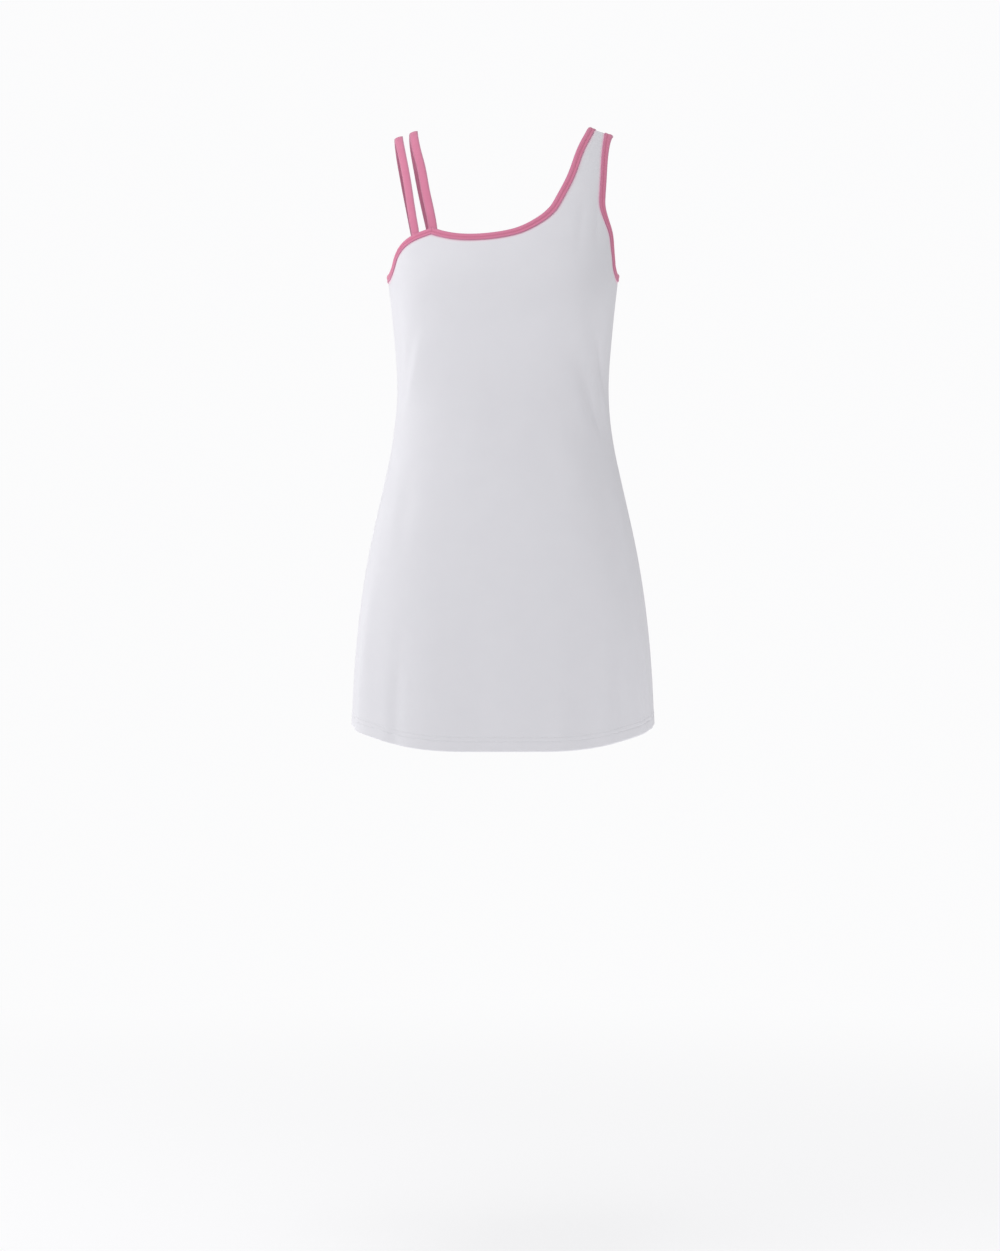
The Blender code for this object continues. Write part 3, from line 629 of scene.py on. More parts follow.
class Panel:
    """Places of one panel: its blocks of cloth, and its bound edges with their inner lines."""

    def __init__(self, is_front):
        self.face = Face(is_front)
        self.peak = UNDERARM_COLUMNS + CHEST_ROWS
        self.coarse_right = self.right_edge(FRONT_NECK if is_front else BACK_NECK)
        self.coarse_left = self.left_edge(LEFT_ARMHOLE_FRONT if is_front else LEFT_ARMHOLE_BACK)
        self.right_counts = (UNDERARM_COLUMNS, CHEST_ROWS, NECK_COLUMNS, STRAP_ROWS)
        self.left_counts = (UNDERARM_COLUMNS, CHEST_ROWS, STRAP_ROWS)

    def right_edge(self, neck):
        """The edge from the right underarm over the point of the panel to the shoulder."""
        face = self.face
        seam_row = [row[0] for row in RIGHT_UNDERARM].index(-90)
        last_row = len(RIGHT_UNDERARM) - 1
        if face.is_front:
            split = seam_row * (1 - RIGHT_UNDERARM_SPLIT)
            end = 0
        else:
            split = seam_row + (last_row - seam_row) * RIGHT_UNDERARM_SPLIT
            end = last_row
        under = edge_run(RIGHT_UNDERARM, UNDERARM_COLUMNS, seam_row, split)
        rise = edge_run(RIGHT_UNDERARM, CHEST_ROWS, split, end)
        if not face.is_front:
            for run in (under, rise):
                run[:, 0] = -np.pi - run[:, 0]
        under[0, 0] = -face.seam_turn(under[0, 1])
        neck_split = (len(neck) - 1) * NECK_SPLIT
        scoop = edge_run(neck, NECK_COLUMNS, 0, neck_split)
        climb = edge_run(neck, STRAP_ROWS, neck_split, crowd=SHOULDER_CROWD)
        climb[-1, 1] = PANEL_GAP
        edge = chain(under, rise, scoop, climb)
        inner = inner_line(face, edge, 1)
        inner[0, 0] = -face.seam_turn(inner[0, 1])
        inner[-1, 1] = PANEL_GAP
        return edge, inner

    def left_edge(self, armhole):
        """The edge of the left armhole, from the underarm to the shoulder."""
        face = self.face
        last = len(armhole) - 1
        low = last * LEFT_UNDERARM_SPLIT
        high = last * LEFT_STRAP_SPLIT
        under = edge_run(armhole, UNDERARM_COLUMNS, last, low)
        rise = edge_run(armhole, CHEST_ROWS, low, high)
        climb = edge_run(armhole, STRAP_ROWS, high, 0, crowd=SHOULDER_CROWD)
        under[0, 0] = face.seam_turn(under[0, 1])
        climb[-1, 1] = PANEL_GAP
        edge = chain(under, rise, climb)
        inner = inner_line(face, edge, -1)
        inner[0, 0] = face.seam_turn(inner[0, 1])
        inner[-1, 1] = PANEL_GAP
        return edge, inner

    def fine_edges(self, fineness, crowded):
        """Both bound edges with their inner lines, at finer stations."""
        right_numbers = station_numbers(self.right_counts, fineness, crowded)
        left_numbers = station_numbers(self.left_counts, fineness, crowded)
        right = [refined(line, right_numbers, self.peak) for line in self.coarse_right]
        left = [refined(line, left_numbers) for line in self.coarse_left]
        return right, left

    def cloth_blocks(self):
        """Blocks of places: hem band to chest, chest to neck edge, wide strap, and the edges."""
        face = self.face
        step = FINENESS
        right, left = self.fine_edges(step, True)
        under = UNDERARM_COLUMNS * step
        peak = self.peak * step
        split = peak + NECK_COLUMNS * step
        chest = straight(right[1][under], left[1][under], CHEST_COLUMNS * step)
        top = chain(right[1][:under + 1], chest, left[1][:under + 1][::-1])
        foot = self.hem_places(np.array([HEM_BAND]))[0]
        rows = BODY_ROWS * step
        sides = [self.side_line(foot[end], top[end], sign, rows) for end, sign in ((0, -1), (-1, 1))]
        base = straight(right[1][split], left[1][peak], WIDE_STRAP_COLUMNS * step)
        over = straight(right[1][-1], left[1][-1], WIDE_STRAP_COLUMNS * step)
        yield coons(foot, top, *sides)
        yield coons(chest, chain(right[1][peak:split + 1], base),
                    right[1][under:peak + 1], left[1][under:peak + 1])
        yield coons(base, over, right[1][split:], left[1][peak:])
        yield np.stack([right[1], right[0]])
        yield np.stack([left[0], left[1]])

    def side_line(self, low, high, sign, rows):
        """Places up a side seam."""
        reach = np.linspace(low[1], high[1], rows + 1)
        return np.stack([sign * self.face.seam_turn(reach), reach], axis=-1)

    def column_shares(self):
        """Where the columns stand between the side seams, -1 to 1, crowded towards the seams."""
        under = UNDERARM_COLUMNS * FINENESS
        side = 2 * UNDERARM_COLUMNS / COLUMNS * np.linspace(0, 1, under + 1) ** SEAM_CROWD - 1
        middle = np.linspace(side[-1], -side[-1], CHEST_COLUMNS * FINENESS + 1)
        return chain(side, middle, -side[::-1])

    def hem_places(self, heights):
        """Places at the given heights over the hem, one row for each."""
        face = self.face
        limit = face.seam_turn(reach_of(HEM_DROP - HEM_RISE))
        reach = hem_reach(limit) - heights[:, None]
        turns = self.column_shares()[None, :] * face.seam_turn(reach)
        return np.stack([turns, hem_reach(turns) - heights[:, None]], axis=-1)


def hem_profile():
    """Section of the turned-up hem: height over the fold and depth inside the cloth's surface.

    It runs down the inner leaf, round the fold as a half circle, and up the outer leaf, which
    swells a little over the turn-up and is drawn in by two rows of sewing.
    """
    fold = (WALL + HEM_FOLD_SPACE) / 2
    arc = np.linspace(0, np.pi, HEM_FOLD_POINTS + 2)[1:-1]
    inner = np.array(HEM_INNER_HEIGHTS) * MM
    outer = np.array(HEM_OUTER_HEIGHTS) * MM
    heights = np.concatenate([inner, fold - fold * np.sin(arc), outer])
    depths = np.concatenate([0 * inner + 2 * fold, fold + fold * np.cos(arc), 0 * outer])
    return heights, depths


def hem_lift(heights):
    """Relief of the outer leaf: a swell up to the turn-up's end, less a bell at each sewn row."""
    swell = HEM_SWELL / (1 + np.exp((heights - HEM_TURN_UP) / HEM_SWELL_FADE * 4))
    rows = np.array(HEM_STITCH_ROWS)[:, None]
    dents = np.exp(-((heights[None] - rows) / HEM_STITCH_DENT_WIDTH) ** 2).sum(axis=0)
    return swell - HEM_STITCH_DENT * dents


def patch_faces(rows, columns, first):
    """Corner numbers of a grid's faces: each joins four neighbouring points, seen from outside."""
    number = first + np.arange(rows * columns).reshape(rows, columns)
    corners = [number[:-1, :-1], number[:-1, 1:], number[1:, 1:], number[1:, :-1]]
    return np.stack(corners, axis=-1).reshape(-1, 4)


def welded(points, faces, size=0.01 * MM):
    """Points that fall in one small cell become one: the kept points' numbers, and the faces."""
    cells = np.round(points / size).astype(np.int64)
    _, kept, number = np.unique(cells, axis=0, return_index=True, return_inverse=True)
    return kept, number.reshape(-1)[faces]


def add_object(name, points, faces, material, maps=None, masks=None):
    """A mesh object at the origin from arrays of points, faces and values at the points."""
    mesh = bpy.data.meshes.new(name)
    mesh.from_pydata(points.tolist(), [], faces.tolist())
    corners = np.empty(len(mesh.loops), np.int32)
    mesh.loops.foreach_get("vertex_index", corners)
    if maps is not None:
        layer = mesh.uv_layers.new(name="UVMap")
        layer.data.foreach_set("uv", maps[corners].astype(np.float32).ravel())
    for mask, values in (masks or {}).items():
        attribute = mesh.attributes.new(mask, "FLOAT", "POINT")
        attribute.data.foreach_set("value", values.astype(np.float32))
    mesh.materials.append(material)
    mesh.shade_smooth()
    made = bpy.data.objects.new(name, mesh)
    bpy.context.scene.collection.objects.link(made)
    return made


def cloth_map(face, places):
    """Way round and way down the cloth in metres, as the map that the knit follows."""
    across = face.turn(places) * SECTION["half_width"](np.abs(places[..., 1]))
    return np.stack([across, -places[..., 1]], axis=-1)


def nearness(points, line, fade):
    """A mask that is 1 on a line of points and fades away from it as a bell of the distance."""
    gap = np.full(len(points), 1.0)
    for start in range(0, len(points), NEAREST_AT_ONCE):
        some = slice(start, start + NEAREST_AT_ONCE)
        part = points[some, None] - line[None]
        gap[some] = np.sqrt((part ** 2).sum(axis=-1).min(axis=1))
    return np.exp(-(gap / fade) ** 2)


def make_cloth(name, panel, material):
    """One panel of cloth: its blocks and its turned-up hem in one sheet, given its thickness.

    A point of the hem is the form's point moved along its normal by the hem's section.
    """
    face = panel.face
    patches = []
    for places in panel.cloth_blocks():
        patches.append((face.point(places), cloth_map(face, places)))
    heights, depths = hem_profile()
    places = panel.hem_places(heights)
    lift = np.where(depths > 0, -depths, 0) + hem_lift(heights) * (depths == 0)
    moved = face.normal(places) * lift[:, None, None]
    patches.append((face.point(places) + moved, cloth_map(face, places)))
    points = np.concatenate([patch[0].reshape(-1, 3) for patch in patches])
    maps = np.concatenate([patch[1].reshape(-1, 2) for patch in patches])
    faces = []
    first = 0
    for patch, _ in patches:
        faces.append(patch_faces(*patch.shape[:2], first))
        first += patch.shape[0] * patch.shape[1]
    kept, faces = welded(points, np.concatenate(faces))
    if not face.is_front:
        faces = faces[:, ::-1]
    points = points[kept]
    right, left = panel.fine_edges(FINENESS, True)
    bound = np.concatenate([face.point(right[1]), face.point(left[1])])
    # Painted reflection: a mask of pink light from the bindings, 1 at their inner lines and fading
    # away from them.
    pink_bounce = nearness(points, bound, PINK_BOUNCE_REACH)
    made = add_object(name, points, faces, material, maps[kept], {"pink_bounce": pink_bounce})
    wall = made.modifiers.new("Wall", "SOLIDIFY")
    wall.thickness = WALL
    wall.offset = 0
    return made


def edge_stations(panel, edge, inner):
    """Points on a cut edge, on its inner line, and the normals at both."""
    face = panel.face
    points = [face.point(edge), face.point(inner)]
    normals = [face.normal(edge), face.normal(inner)]
    return np.stack(points + normals, axis=1)


def join_stations(front, back):
    """Stations of the two panels as one run, with one station on the seam between them."""
    seam = (front[-1:] + back[:1]) / 2
    return np.concatenate([front[:-1], seam, back[1:]])


def on_binding(stations, way_in, height):
    """Point of a binding at each station: along the line from edge to inner, lifted off it.

    way_in is measured from the cut edge in millimetres, height from the middle of the cloth.
    """
    edge, inner, edge_normal, inner_normal = (stations[:, i] for i in range(4))
    share = way_in * MM / BINDING_WIDTH
    normal = edge_normal + (inner_normal - edge_normal) * np.clip(share, 0, 1)
    return edge + (inner - edge) * share + normal * height * MM


def binding_ring():
    """The folded section as one closed ring of way in and height, outer side first."""
    outer = np.array(BINDING_SECTION)
    inner = outer[::-1] * (1, -1)
    outer_gap = np.array(BINDING_GAP_SIDE)
    inner_gap = outer_gap[::-1] * (1, -1)
    return np.concatenate([outer, [BINDING_FOLD], inner, inner_gap, outer_gap])


def unevenness(length, seed, size):
    """Slow waves of a sewn strip: the mean of three sines of unlike lengths, as a share about 0."""
    starts = np.array(UNEVEN_STARTS) + seed
    waves = np.array(UNEVEN_WAVES)
    return size * np.sin(length[:, None] * 2 * np.pi / waves + starts).mean(axis=1)


def tube_faces(stations, sides, closed):
    """Faces of a tube of rings, each ring closed; the run is closed too where closed is true."""
    along = np.arange(stations if closed else stations - 1)[:, None]
    around = np.arange(sides)[None, :]
    after = (along + 1) % stations
    beside = (around + 1) % sides
    corners = [along * sides + around, along * sides + beside, after * sides + beside,
               after * sides + around]
    corners = np.broadcast_arrays(*corners)
    return np.stack(corners, axis=-1).reshape(-1, 4)


def strip_masks(ring, groove, roll, middle, edge_from, edge_reach):
    """Values at a section's points, both from 0 to 1.

    Roll grows with the height, from the groove's to the roll's, and keeps painted shade in the
    groove and on low sides off the raised roll. Edge grows with the distance from the section's
    middle, over a reach, and lays painted shade on the rounded edges.
    """
    groove_shade_mix = np.clip((np.abs(ring[:, 1]) - groove) / (roll - groove), 0, 1)
    beside = np.clip((np.abs(ring[:, 0] - middle) - edge_from) / edge_reach, 0, 1)
    return {"roll": np.maximum(groove_shade_mix, beside), "edge": beside}


def make_binding(name, stations, closed, seed, material):
    """A strip folded over an edge: the section carried along the stations of the edge."""
    ring = binding_ring()
    masks = strip_masks(ring, BINDING_GROOVE_HEIGHT, BINDING_ROLL_HEIGHT, BINDING_MIDDLE,
                        BINDING_EDGE_FROM, BINDING_EDGE_REACH)
    masks = {mask: np.tile(values, len(stations)) for mask, values in masks.items()}
    middle = (stations[:, 0] + stations[:, 1]) / 2
    length = way_along(middle)
    swell = 1 + unevenness(length, seed, BINDING_UNEVENNESS)[:, None]
    rows = [on_binding(stations, way_in, height * swell) for way_in, height in ring]
    points = np.stack(rows, axis=1)
    around = way_along(np.vstack([ring, ring[:1]]))[:-1] * MM
    maps = np.stack(np.broadcast_arrays(around[None, :], length[:, None]), axis=-1)
    faces = tube_faces(len(points), len(ring), closed)
    made = add_object(name, points.reshape(-1, 3), faces, material, maps.reshape(-1, 2), masks)
    outside_first(made)
    return made


def outside_first(made):
    """Turn a closed mesh's faces so that they all point out, by the sign of its volume."""
    mesh = made.data
    points = np.empty(len(mesh.vertices) * 3, np.float32)
    mesh.vertices.foreach_get("co", points)
    points = points.reshape(-1, 3).astype(float)
    mesh.calc_loop_triangles()
    corners = np.empty(len(mesh.loop_triangles) * 3, np.int32)
    mesh.loop_triangles.foreach_get("vertices", corners)
    a, b, c = (points[corners.reshape(-1, 3)[:, i]] for i in range(3))
    if np.sum(a * np.cross(b, c)) < 0:
        mesh.flip_normals()


def make_stitches(name, lines, pitch, material):
    """Rows of stitches: each is a short bead of thread whose ends go down into the cloth.

    A line is its points and its outward normals. Bead k has rings at set shares of its length;
    a ring is a circle of the thread's radius times a share, moved along the normal.
    """
    blocks = []
    for points, normals in lines:
        length = way_along(points)
        count = int(length[-1] / pitch)
        share, thick, lift = (np.array(column) for column in zip(*STITCH_RINGS))
        start = (np.arange(count) + 0.5 - STITCH_COVER / 2) * length[-1] / count
        at = start[:, None] + share[None] * pitch * STITCH_COVER
        place = np.stack([np.interp(at, length, points[:, i]) for i in range(3)], axis=-1)
        normal = np.stack([np.interp(at, length, normals[:, i]) for i in range(3)], axis=-1)
        across = np.cross(place[:, -1:] - place[:, :1], normal)
        across = across / np.linalg.norm(across, axis=-1, keepdims=True)
        angle = np.arange(STITCH_SIDES) * 2 * np.pi / STITCH_SIDES
        radius = (THREAD_RADIUS * thick)[None, :, None, None]
        ring = (np.cos(angle)[None, None, :, None] * across[:, :, None]
                + np.sin(angle)[None, None, :, None] * normal[:, :, None])
        centre = place + normal * (THREAD_RADIUS * lift)[None, :, None]
        blocks.append((centre[:, :, None] + radius * ring).reshape(count, -1, 3))
    beads = np.concatenate(blocks)
    bead = tube_faces(len(STITCH_RINGS), STITCH_SIDES, False)
    last = (len(STITCH_RINGS) - 1) * STITCH_SIDES
    caps = np.array([[0, 3, 2, 1], [0, 5, 4, 3], [0, 1, 2, 3], [0, 3, 4, 5]])
    bead = np.concatenate([bead, caps[:2], caps[2:] + last])
    faces = (bead[None] + np.arange(len(beads))[:, None, None] * beads.shape[1]).reshape(-1, 4)
    made = add_object(name, beads.reshape(-1, 3), faces, material)
    outside_first(made)
    return made


def binding_lines(stations):
    """The line of sewing on a binding's outer and on its inner side, with their normals."""
    normal = stations[:, 3] / np.linalg.norm(stations[:, 3], axis=1, keepdims=True)
    return [(on_binding(stations, BINDING_STITCH_ROW, side * BINDING_STITCH_HEIGHT), side * normal)
            for side in (1, -1)]


def make_strap(name, rows, seed, material, thread):
    """A narrow strap over the right shoulder, tucked behind the bindings at both ends.

    Its section is carried along the strap's middle line on the form; sewing draws it down.
    """
    face = Face(True)
    middle = edge_run(rows, STRAP_STATIONS * FINENESS)
    points = face.point(middle)
    normals = face.normal(middle)
    before, after = directions(points)
    across = np.cross(before + after, normals)
    across = across / np.linalg.norm(across, axis=1, keepdims=True)
    length = way_along(points)
    from_end = np.minimum(length, length[-1] - length)
    share = np.clip((STRAP_TUCK_END - from_end) / (STRAP_TUCK_END - STRAP_TUCK_FLAT), 0, 1)
    tuck = (STRAP_TUCK * share ** 2 * (3 - 2 * share))[:, None]
    half = np.array(STRAP_SECTION)
    top = np.concatenate([half[::-1] * (-1, 1), half[1:]])
    ring = np.concatenate([top, top[::-1] * (1, -1)])

    def on_strap(way_across, height):
        beside = face.step(middle, across * way_across * MM)
        return face.point(beside) + face.normal(beside) * (height * MM - tuck)

    swell = 1 + unevenness(length, seed, STRAP_UNEVENNESS)[:, None]
    swell = swell * (1 - STRAP_PRESSED * share[:, None])
    tube = np.stack([on_strap(way, height * swell) for way, height in ring], axis=1)
    masks = strip_masks(ring, STRAP_LOW_HEIGHT, STRAP_ROLL_HEIGHT, STRAP_MIDDLE,
                        STRAP_EDGE_FROM, STRAP_EDGE_REACH)
    masks = {mask: np.tile(values, len(tube)) for mask, values in masks.items()}
    around = way_along(np.vstack([ring, ring[:1]]))[:-1] * MM
    maps = np.stack(np.broadcast_arrays(around[None, :], length[:, None]), axis=-1).reshape(-1, 2)
    faces = tube_faces(len(tube), len(ring), False)
    made = add_object(name, tube.reshape(-1, 3), faces, material, maps, masks)
    close_ends(made)
    outside_first(made)
    lines = [(on_strap(STRAP_STITCH_ROW, side * STRAP_STITCH_HEIGHT * swell), side * normals)
             for side in (1, -1)]
    stitches = make_stitches(name + "_stitches", lines, STITCH_PITCH, thread)
    return made, stitches, length[-1]


def close_ends(made):
    """Fill the open ends of a tube."""
    mesh = bmesh.new()
    mesh.from_mesh(made.data)
    bmesh.ops.holes_fill(mesh, edges=mesh.edges)
    bmesh.ops.recalc_face_normals(mesh, faces=mesh.faces)
    mesh.to_mesh(made.data)
    mesh.free()


class Nodes:
    """Short names for the nodes of one tree."""

    def __init__(self, tree):
        self.tree = tree

    def add(self, kind, values=None, **settings):
        node = self.tree.nodes.new(kind)
        for key, value in settings.items():
            setattr(node, key, value)
        for key, value in (values or {}).items():
            self.put(node.inputs[key], value)
        return node

    def put(self, socket, value):
        if isinstance(value, bpy.types.NodeSocket):
            self.tree.links.new(value, socket)
        else:
            socket.default_value = value

    def math(self, operation, *values):
        node = self.add("ShaderNodeMath", operation=operation)
        for index, value in enumerate(values):
            self.put(node.inputs[index], value)
        return node.outputs[0]

    def mix(self, factor, first, second, blend="MIX"):
        node = self.add("ShaderNodeMix", data_type="RGBA", blend_type=blend)
        self.put(node.inputs[0], factor)
        self.put(node.inputs[6], first)
        self.put(node.inputs[7], second)
        return node.outputs[2]


def new_group(name, inputs, outputs):
    """An empty shader node group with named sockets: (name, kind, value) for each input."""
    group = bpy.data.node_groups.new(name, "ShaderNodeTree")
    for label, kind, value in inputs:
        socket = group.interface.new_socket(label, in_out="INPUT", socket_type=kind)
        if value is not None:
            socket.default_value = value
    for label, kind in outputs:
        group.interface.new_socket(label, in_out="OUTPUT", socket_type=kind)
    nodes = Nodes(group)
    return nodes, nodes.add("NodeGroupInput").outputs, nodes.add("NodeGroupOutput").inputs


def knit_group():
    """Knitted cloth: V-shaped loops in wales and courses, and slow changes of its tone.

    Loops is the height of the loops and Tone runs from 0 to 1 in slow clouds.
    """
    nodes, given, out = new_group("knit", (
        ("Map", "NodeSocketVector", None),
        ("Wale", "NodeSocketFloat", JERSEY_WALE),
        ("Course", "NodeSocketFloat", JERSEY_COURSE),
        ("Cloud Size", "NodeSocketFloat", CLOUD_SIZE),
    ), (("Loops", "NodeSocketFloat"), ("Tone", "NodeSocketFloat")))
    split = nodes.add("ShaderNodeSeparateXYZ", {0: given["Map"]})
    wale = nodes.math("DIVIDE", split.outputs[0], given["Wale"])
    course = nodes.math("DIVIDE", split.outputs[1], given["Course"])
    leg = nodes.math("PINGPONG", wale, 0.5)
    slanted = nodes.math("ADD", course, nodes.math("MULTIPLY", leg, LEG_SLANT))
    loop = nodes.math("SINE", nodes.math("MULTIPLY", slanted, 2 * np.pi))
    rib = nodes.math("SINE", nodes.math("MULTIPLY", leg, 2 * np.pi))
    height = nodes.math("ADD", nodes.math("MULTIPLY", loop, LOOP_SHARE),
                        nodes.math("MULTIPLY", rib, RIB_SHARE))
    nodes.put(out["Loops"], nodes.math("ADD", height, LOOP_MEAN))
    cloud = nodes.add("ShaderNodeTexNoise", {"Vector": given["Map"], "Scale": given["Cloud Size"],
                                             "Detail": 3.0, "Roughness": 0.55})
    nodes.put(out["Tone"], cloud.outputs[0])
    return nodes.tree


def knit_material(name, group, light, shade_and_cloud, wale, course, loops, sheen):
    """Knitted cloth: a bump of loops, a soft sheen, and a colour between two tones, deeper as
    painted shade in the valleys between the loops and as a real change of tone in slow clouds.

    The colour is handed back, for the material's own shares of other colours to be laid over.
    """
    material = bpy.data.materials.new(name)
    material.use_nodes = True
    nodes = Nodes(material.node_tree)
    shader = material.node_tree.nodes["Principled BSDF"]
    way = nodes.add("ShaderNodeUVMap", uv_map="UVMap").outputs[0]
    knit = nodes.add("ShaderNodeGroup", node_tree=group)
    nodes.put(knit.inputs["Map"], way)
    nodes.put(knit.inputs["Wale"], wale)
    nodes.put(knit.inputs["Course"], course)
    # Painted shade: the colour deepens in the valleys between the loops, on top of their bump.
    valley_shade = nodes.math("SUBTRACT", 1.0, knit.outputs["Loops"])
    share = nodes.math("ADD", nodes.math("MULTIPLY", valley_shade, VALLEY_PAINTED_SHADE),
                       nodes.math("MULTIPLY", knit.outputs["Tone"], CLOUD_DEEPENS))
    colour = nodes.mix(share, light, shade_and_cloud)
    rough = nodes.add("ShaderNodeMapRange", {"Value": knit.outputs["Tone"],
                                             "To Min": KNIT_ROUGHNESS[0],
                                             "To Max": KNIT_ROUGHNESS[1]})
    nodes.put(shader.inputs["Roughness"], rough.outputs[0])
    bump = nodes.add("ShaderNodeBump", {"Height": knit.outputs["Loops"], "Strength": loops,
                                        "Distance": LOOP_DEPTH})
    nodes.put(shader.inputs["Normal"], bump.outputs[0])
    shader.inputs["Sheen Weight"].default_value = sheen
    shader.inputs["Sheen Roughness"].default_value = KNIT_SHEEN_ROUGHNESS
    shader.inputs["Specular IOR Level"].default_value = KNIT_SPECULAR
    return material, nodes, colour


def white_material(group):
    """The dress's white jersey, with a painted reflection of pink light from its bindings on the
    cloth close to them.
    """
    material, nodes, colour = knit_material("white_jersey", group, WHITE, WHITE_SHADE_AND_CLOUD, JERSEY_WALE,
                                            JERSEY_COURSE, JERSEY_LOOPS, JERSEY_SHEEN)
    # Painted reflection of the pink bindings on the white cloth, fading away from them.
    mask = nodes.add("ShaderNodeAttribute", attribute_name="pink_bounce").outputs["Fac"]
    pink_bounced = nodes.mix(nodes.math("MULTIPLY", mask, PINK_BOUNCE_SHARE), colour, PINK_BOUNCE)
    nodes.put(material.node_tree.nodes["Principled BSDF"].inputs["Base Color"], pink_bounced)
    return material


def strip_material(name, group, light, shade_and_cloud, edge):
    """Pink knit of a binding or strap, with painted shade: deeper in its groove and on a strap's low
    sides, and duller at its rounded edges where they turn from the light.
    """
    material, nodes, colour = knit_material(name, group, light, shade_and_cloud, BINDING_WALE,
                                            BINDING_COURSE, STRIP_LOOPS, STRIP_SHEEN)
    roll = nodes.add("ShaderNodeAttribute", attribute_name="roll").outputs["Fac"]
    beside = nodes.add("ShaderNodeAttribute", attribute_name="edge").outputs["Fac"]
    # Painted shade: the deeper pink in the groove and on low sides, then the duller edge pink on the
    # rounded edges.
    groove_shade_mix = nodes.mix(roll, shade_and_cloud, colour)
    edge_shaded = nodes.mix(beside, groove_shade_mix, edge)
    nodes.put(material.node_tree.nodes["Principled BSDF"].inputs["Base Color"], edge_shaded)
    return material


def thread_material(name, colour):
    """Sewing thread: its colour with a fine grain of twisted fibres."""
    material = bpy.data.materials.new(name)
    material.use_nodes = True
    nodes = Nodes(material.node_tree)
    shader = material.node_tree.nodes["Principled BSDF"]
    place = nodes.add("ShaderNodeTexCoord").outputs["Object"]
    twist = nodes.add("ShaderNodeTexNoise", {"Vector": place, "Scale": THREAD_TWIST_SCALE,
                                             "Detail": 1.0})
    dark = tuple(THREAD_DARKER * value for value in colour[:3]) + (1.0,)
    nodes.put(shader.inputs["Base Color"], nodes.mix(twist.outputs[0], colour, dark))
    bump = nodes.add("ShaderNodeBump", {"Height": twist.outputs[0],
                                        "Strength": THREAD_TWIST_STRENGTH,
                                        "Distance": THREAD_TWIST_DEPTH})
    nodes.put(shader.inputs["Normal"], bump.outputs[0])
    shader.inputs["Roughness"].default_value = THREAD_ROUGHNESS
    shader.inputs["Sheen Weight"].default_value = THREAD_SHEEN
    return material


def hem_lines(panel):
    """The two rows of sewing over the hem, as lines with their normals."""
    heights = np.array(HEM_STITCH_ROWS)
    places = panel.hem_places(heights)
    normals = panel.face.normal(places)
    lift = WALL / 2 + hem_lift(heights) + THREAD_LIFT
    points = panel.face.point(places) + normals * lift[:, None, None]
    return [(points[row], normals[row]) for row in range(len(heights))]


def binding_runs(front, back):
    """Each binding's name, stations, whether it closes on itself, and the seed of its waves."""
    peak = front.peak * BINDING_FINENESS
    right = []
    left = []
    for panel in (front, back):
        right_edge, left_edge = panel.fine_edges(BINDING_FINENESS, False)
        right.append(edge_stations(panel, *right_edge))
        left.append(edge_stations(panel, *left_edge))
    neck = join_stations(right[0][peak:], right[1][peak:][::-1])
    underarm = join_stations(right[0][:peak + 1][::-1], right[1][:peak + 1])
    armhole = join_stations(left[0], left[1][::-1])
    armhole[0] = (armhole[0] + armhole[-1]) / 2
    return (
        ("neck_binding", neck, False, 0.0),
        ("right_armhole_binding", underarm, False, 2.0),
        ("left_armhole_binding", armhole[:-1], True, 4.0),
    )


def make_dress():
    """All the pieces of the dress, riding on the one body."""
    front = Panel(True)
    back = Panel(False)
    group = knit_group()
    white = white_material(group)
    pink = strip_material("pink_binding_knit", group, PINK, PINK_SHADE_AND_CLOUD, PINK_EDGE_SHADE)
    rose = strip_material("pink_strap_knit", group, STRAP_PINK, STRAP_PINK_SHADE_AND_CLOUD, STRAP_PINK_EDGE_SHADE)
    pink_thread = thread_material("pink_thread", PINK)
    white_thread = thread_material("white_thread", WHITE)

    def keep(piece, slot, *nodes):
        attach(piece, "root")
        if nodes:
            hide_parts(*nodes)
        return piece

    for name, panel in (("front", front), ("back", back)):
        cloth = keep(make_cloth(name + "_cloth", panel, white), "white_knit", name + "_panel")
        stitches = make_stitches(name + "_hem_stitches", hem_lines(panel), HEM_STITCH_PITCH,
                                 white_thread)
        keep(stitches, "white_knit")

    for name, stations, closed, seed in binding_runs(front, back):
        strip = make_binding(name + "_knit", stations, closed, seed, pink)
        if not closed:
            close_ends(strip)
            outside_first(strip)
        keep(strip, "pink_binding", name)
        sewn = np.concatenate([stations, stations[:1]]) if closed else stations
        stitches = make_stitches(name + "_stitches", binding_lines(sewn), STITCH_PITCH, pink_thread)
        keep(stitches, "pink_binding")
        length = way_along(stations[:, 0])[-1]

    for name, rows, seed in (("inner_strap", INNER_STRAP, 1.0), ("outer_strap", OUTER_STRAP, 3.0)):
        strap, stitches, length = make_strap(name + "_knit", rows, seed, rose, pink_thread)
        keep(strap, "pink_strap", name)
        keep(stitches, "pink_strap")


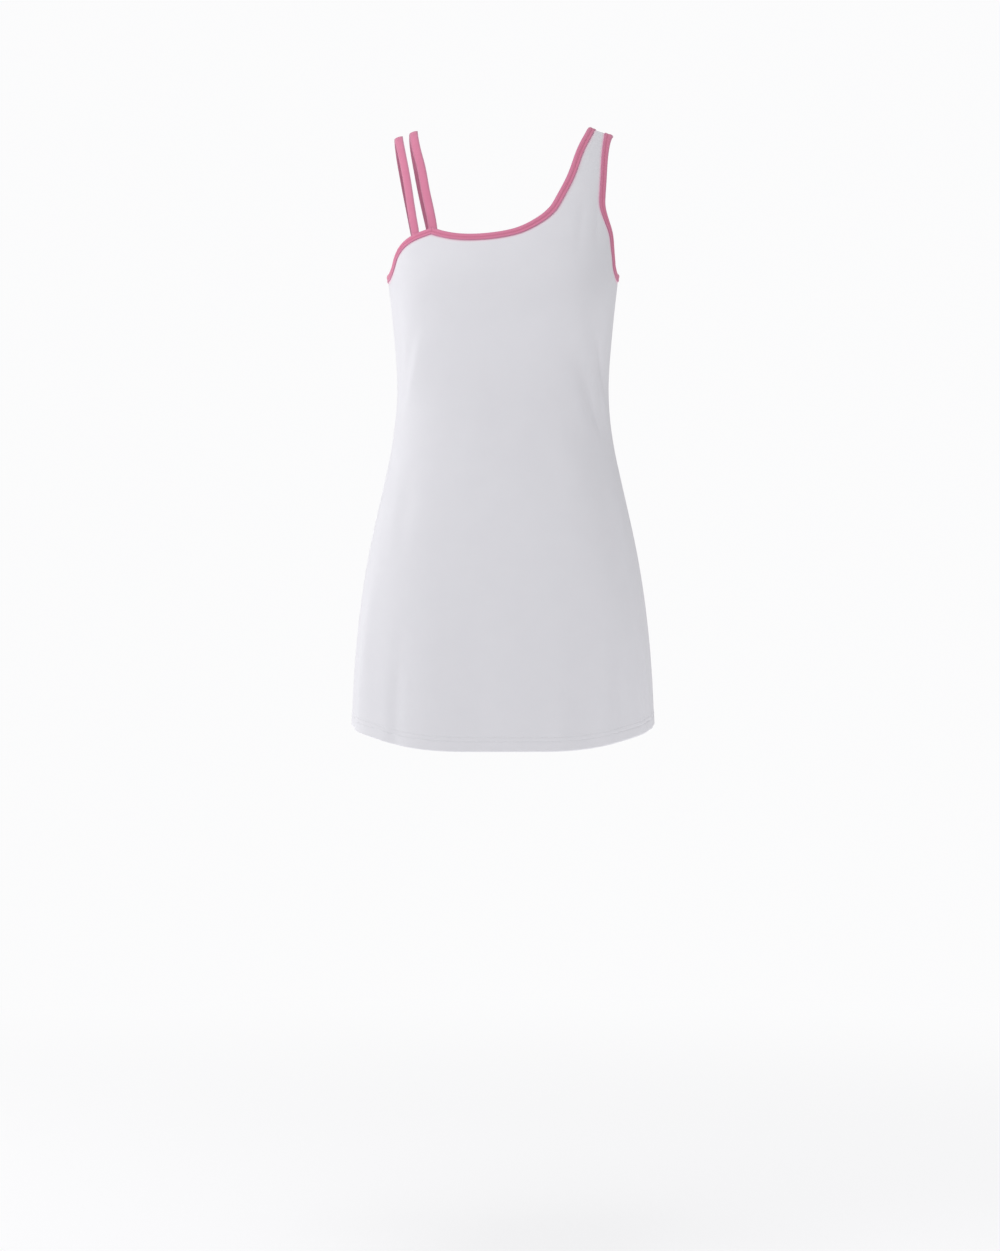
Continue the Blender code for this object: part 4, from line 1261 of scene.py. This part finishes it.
def make_floor():
    """A wide pale floor that passes into the white of the studio far from the dress."""
    corners = np.array([(-1, -1), (1, -1), (1, 1), (-1, 1)]) * FLOOR_HALF
    points = np.column_stack([corners, np.full(4, FLOOR_LEVEL)])
    material = bpy.data.materials.new("pale_floor")
    material.use_nodes = True
    nodes = Nodes(material.node_tree)
    shader = material.node_tree.nodes["Principled BSDF"]
    place = nodes.add("ShaderNodeTexCoord").outputs["Object"]
    far = nodes.add("ShaderNodeVectorMath", {0: place}, operation="LENGTH").outputs["Value"]
    fade = nodes.add("ShaderNodeMapRange", {"Value": far, "From Min": FLOOR_FADE[0],
                                            "From Max": FLOOR_FADE[1]},
                     interpolation_type="SMOOTHSTEP").outputs[0]
    nodes.put(shader.inputs["Base Color"], nodes.mix(fade, FLOOR_PALE, BLACK))
    nodes.put(shader.inputs["Emission Color"], nodes.mix(fade, FLOOR_GLOW, ROOM_WHITE))
    shader.inputs["Emission Strength"].default_value = 1.0
    shader.inputs["Roughness"].default_value = FLOOR_ROUGHNESS
    shader.inputs["Specular IOR Level"].default_value = 0.0
    floor = add_object("floor", points, np.array([[0, 1, 2, 3]]), material)


def add_light(name, place, aim, size, power):
    """A square soft light at a place, turned towards its aim."""
    data = bpy.data.lights.new(name, "AREA")
    data.size = size
    data.energy = power
    lamp = bpy.data.objects.new(name, data)
    lamp.location = place
    lamp.rotation_euler = (Vector(aim) - Vector(place)).to_track_quat("-Z", "Y").to_euler()
    bpy.context.scene.collection.objects.link(lamp)


def make_studio():
    """Soft lamps, the most of them from the left of the view, a white room and the camera."""
    scene = bpy.context.scene
    scene.view_settings.view_transform = "Standard"
    world = bpy.data.worlds.new("white_studio")
    scene.world = world
    world.use_nodes = True
    nodes = Nodes(world.node_tree)
    back = world.node_tree.nodes["Background"]
    seen = nodes.add("ShaderNodeLightPath").outputs["Is Camera Ray"]
    nodes.put(back.inputs["Color"], nodes.mix(seen, ROOM_LIGHT, ROOM_WHITE))
    for lamp in LAMPS:
        add_light(*lamp)
    data = bpy.data.cameras.new("camera")
    data.lens = LENS
    data.sensor_width = SENSOR
    camera = bpy.data.objects.new("camera", data)
    camera.location = CAMERA_PLACE
    camera.rotation_euler = (np.pi / 2, 0, 0)
    scene.collection.objects.link(camera)
    scene.camera = camera


make_studio()
make_floor()
make_dress()
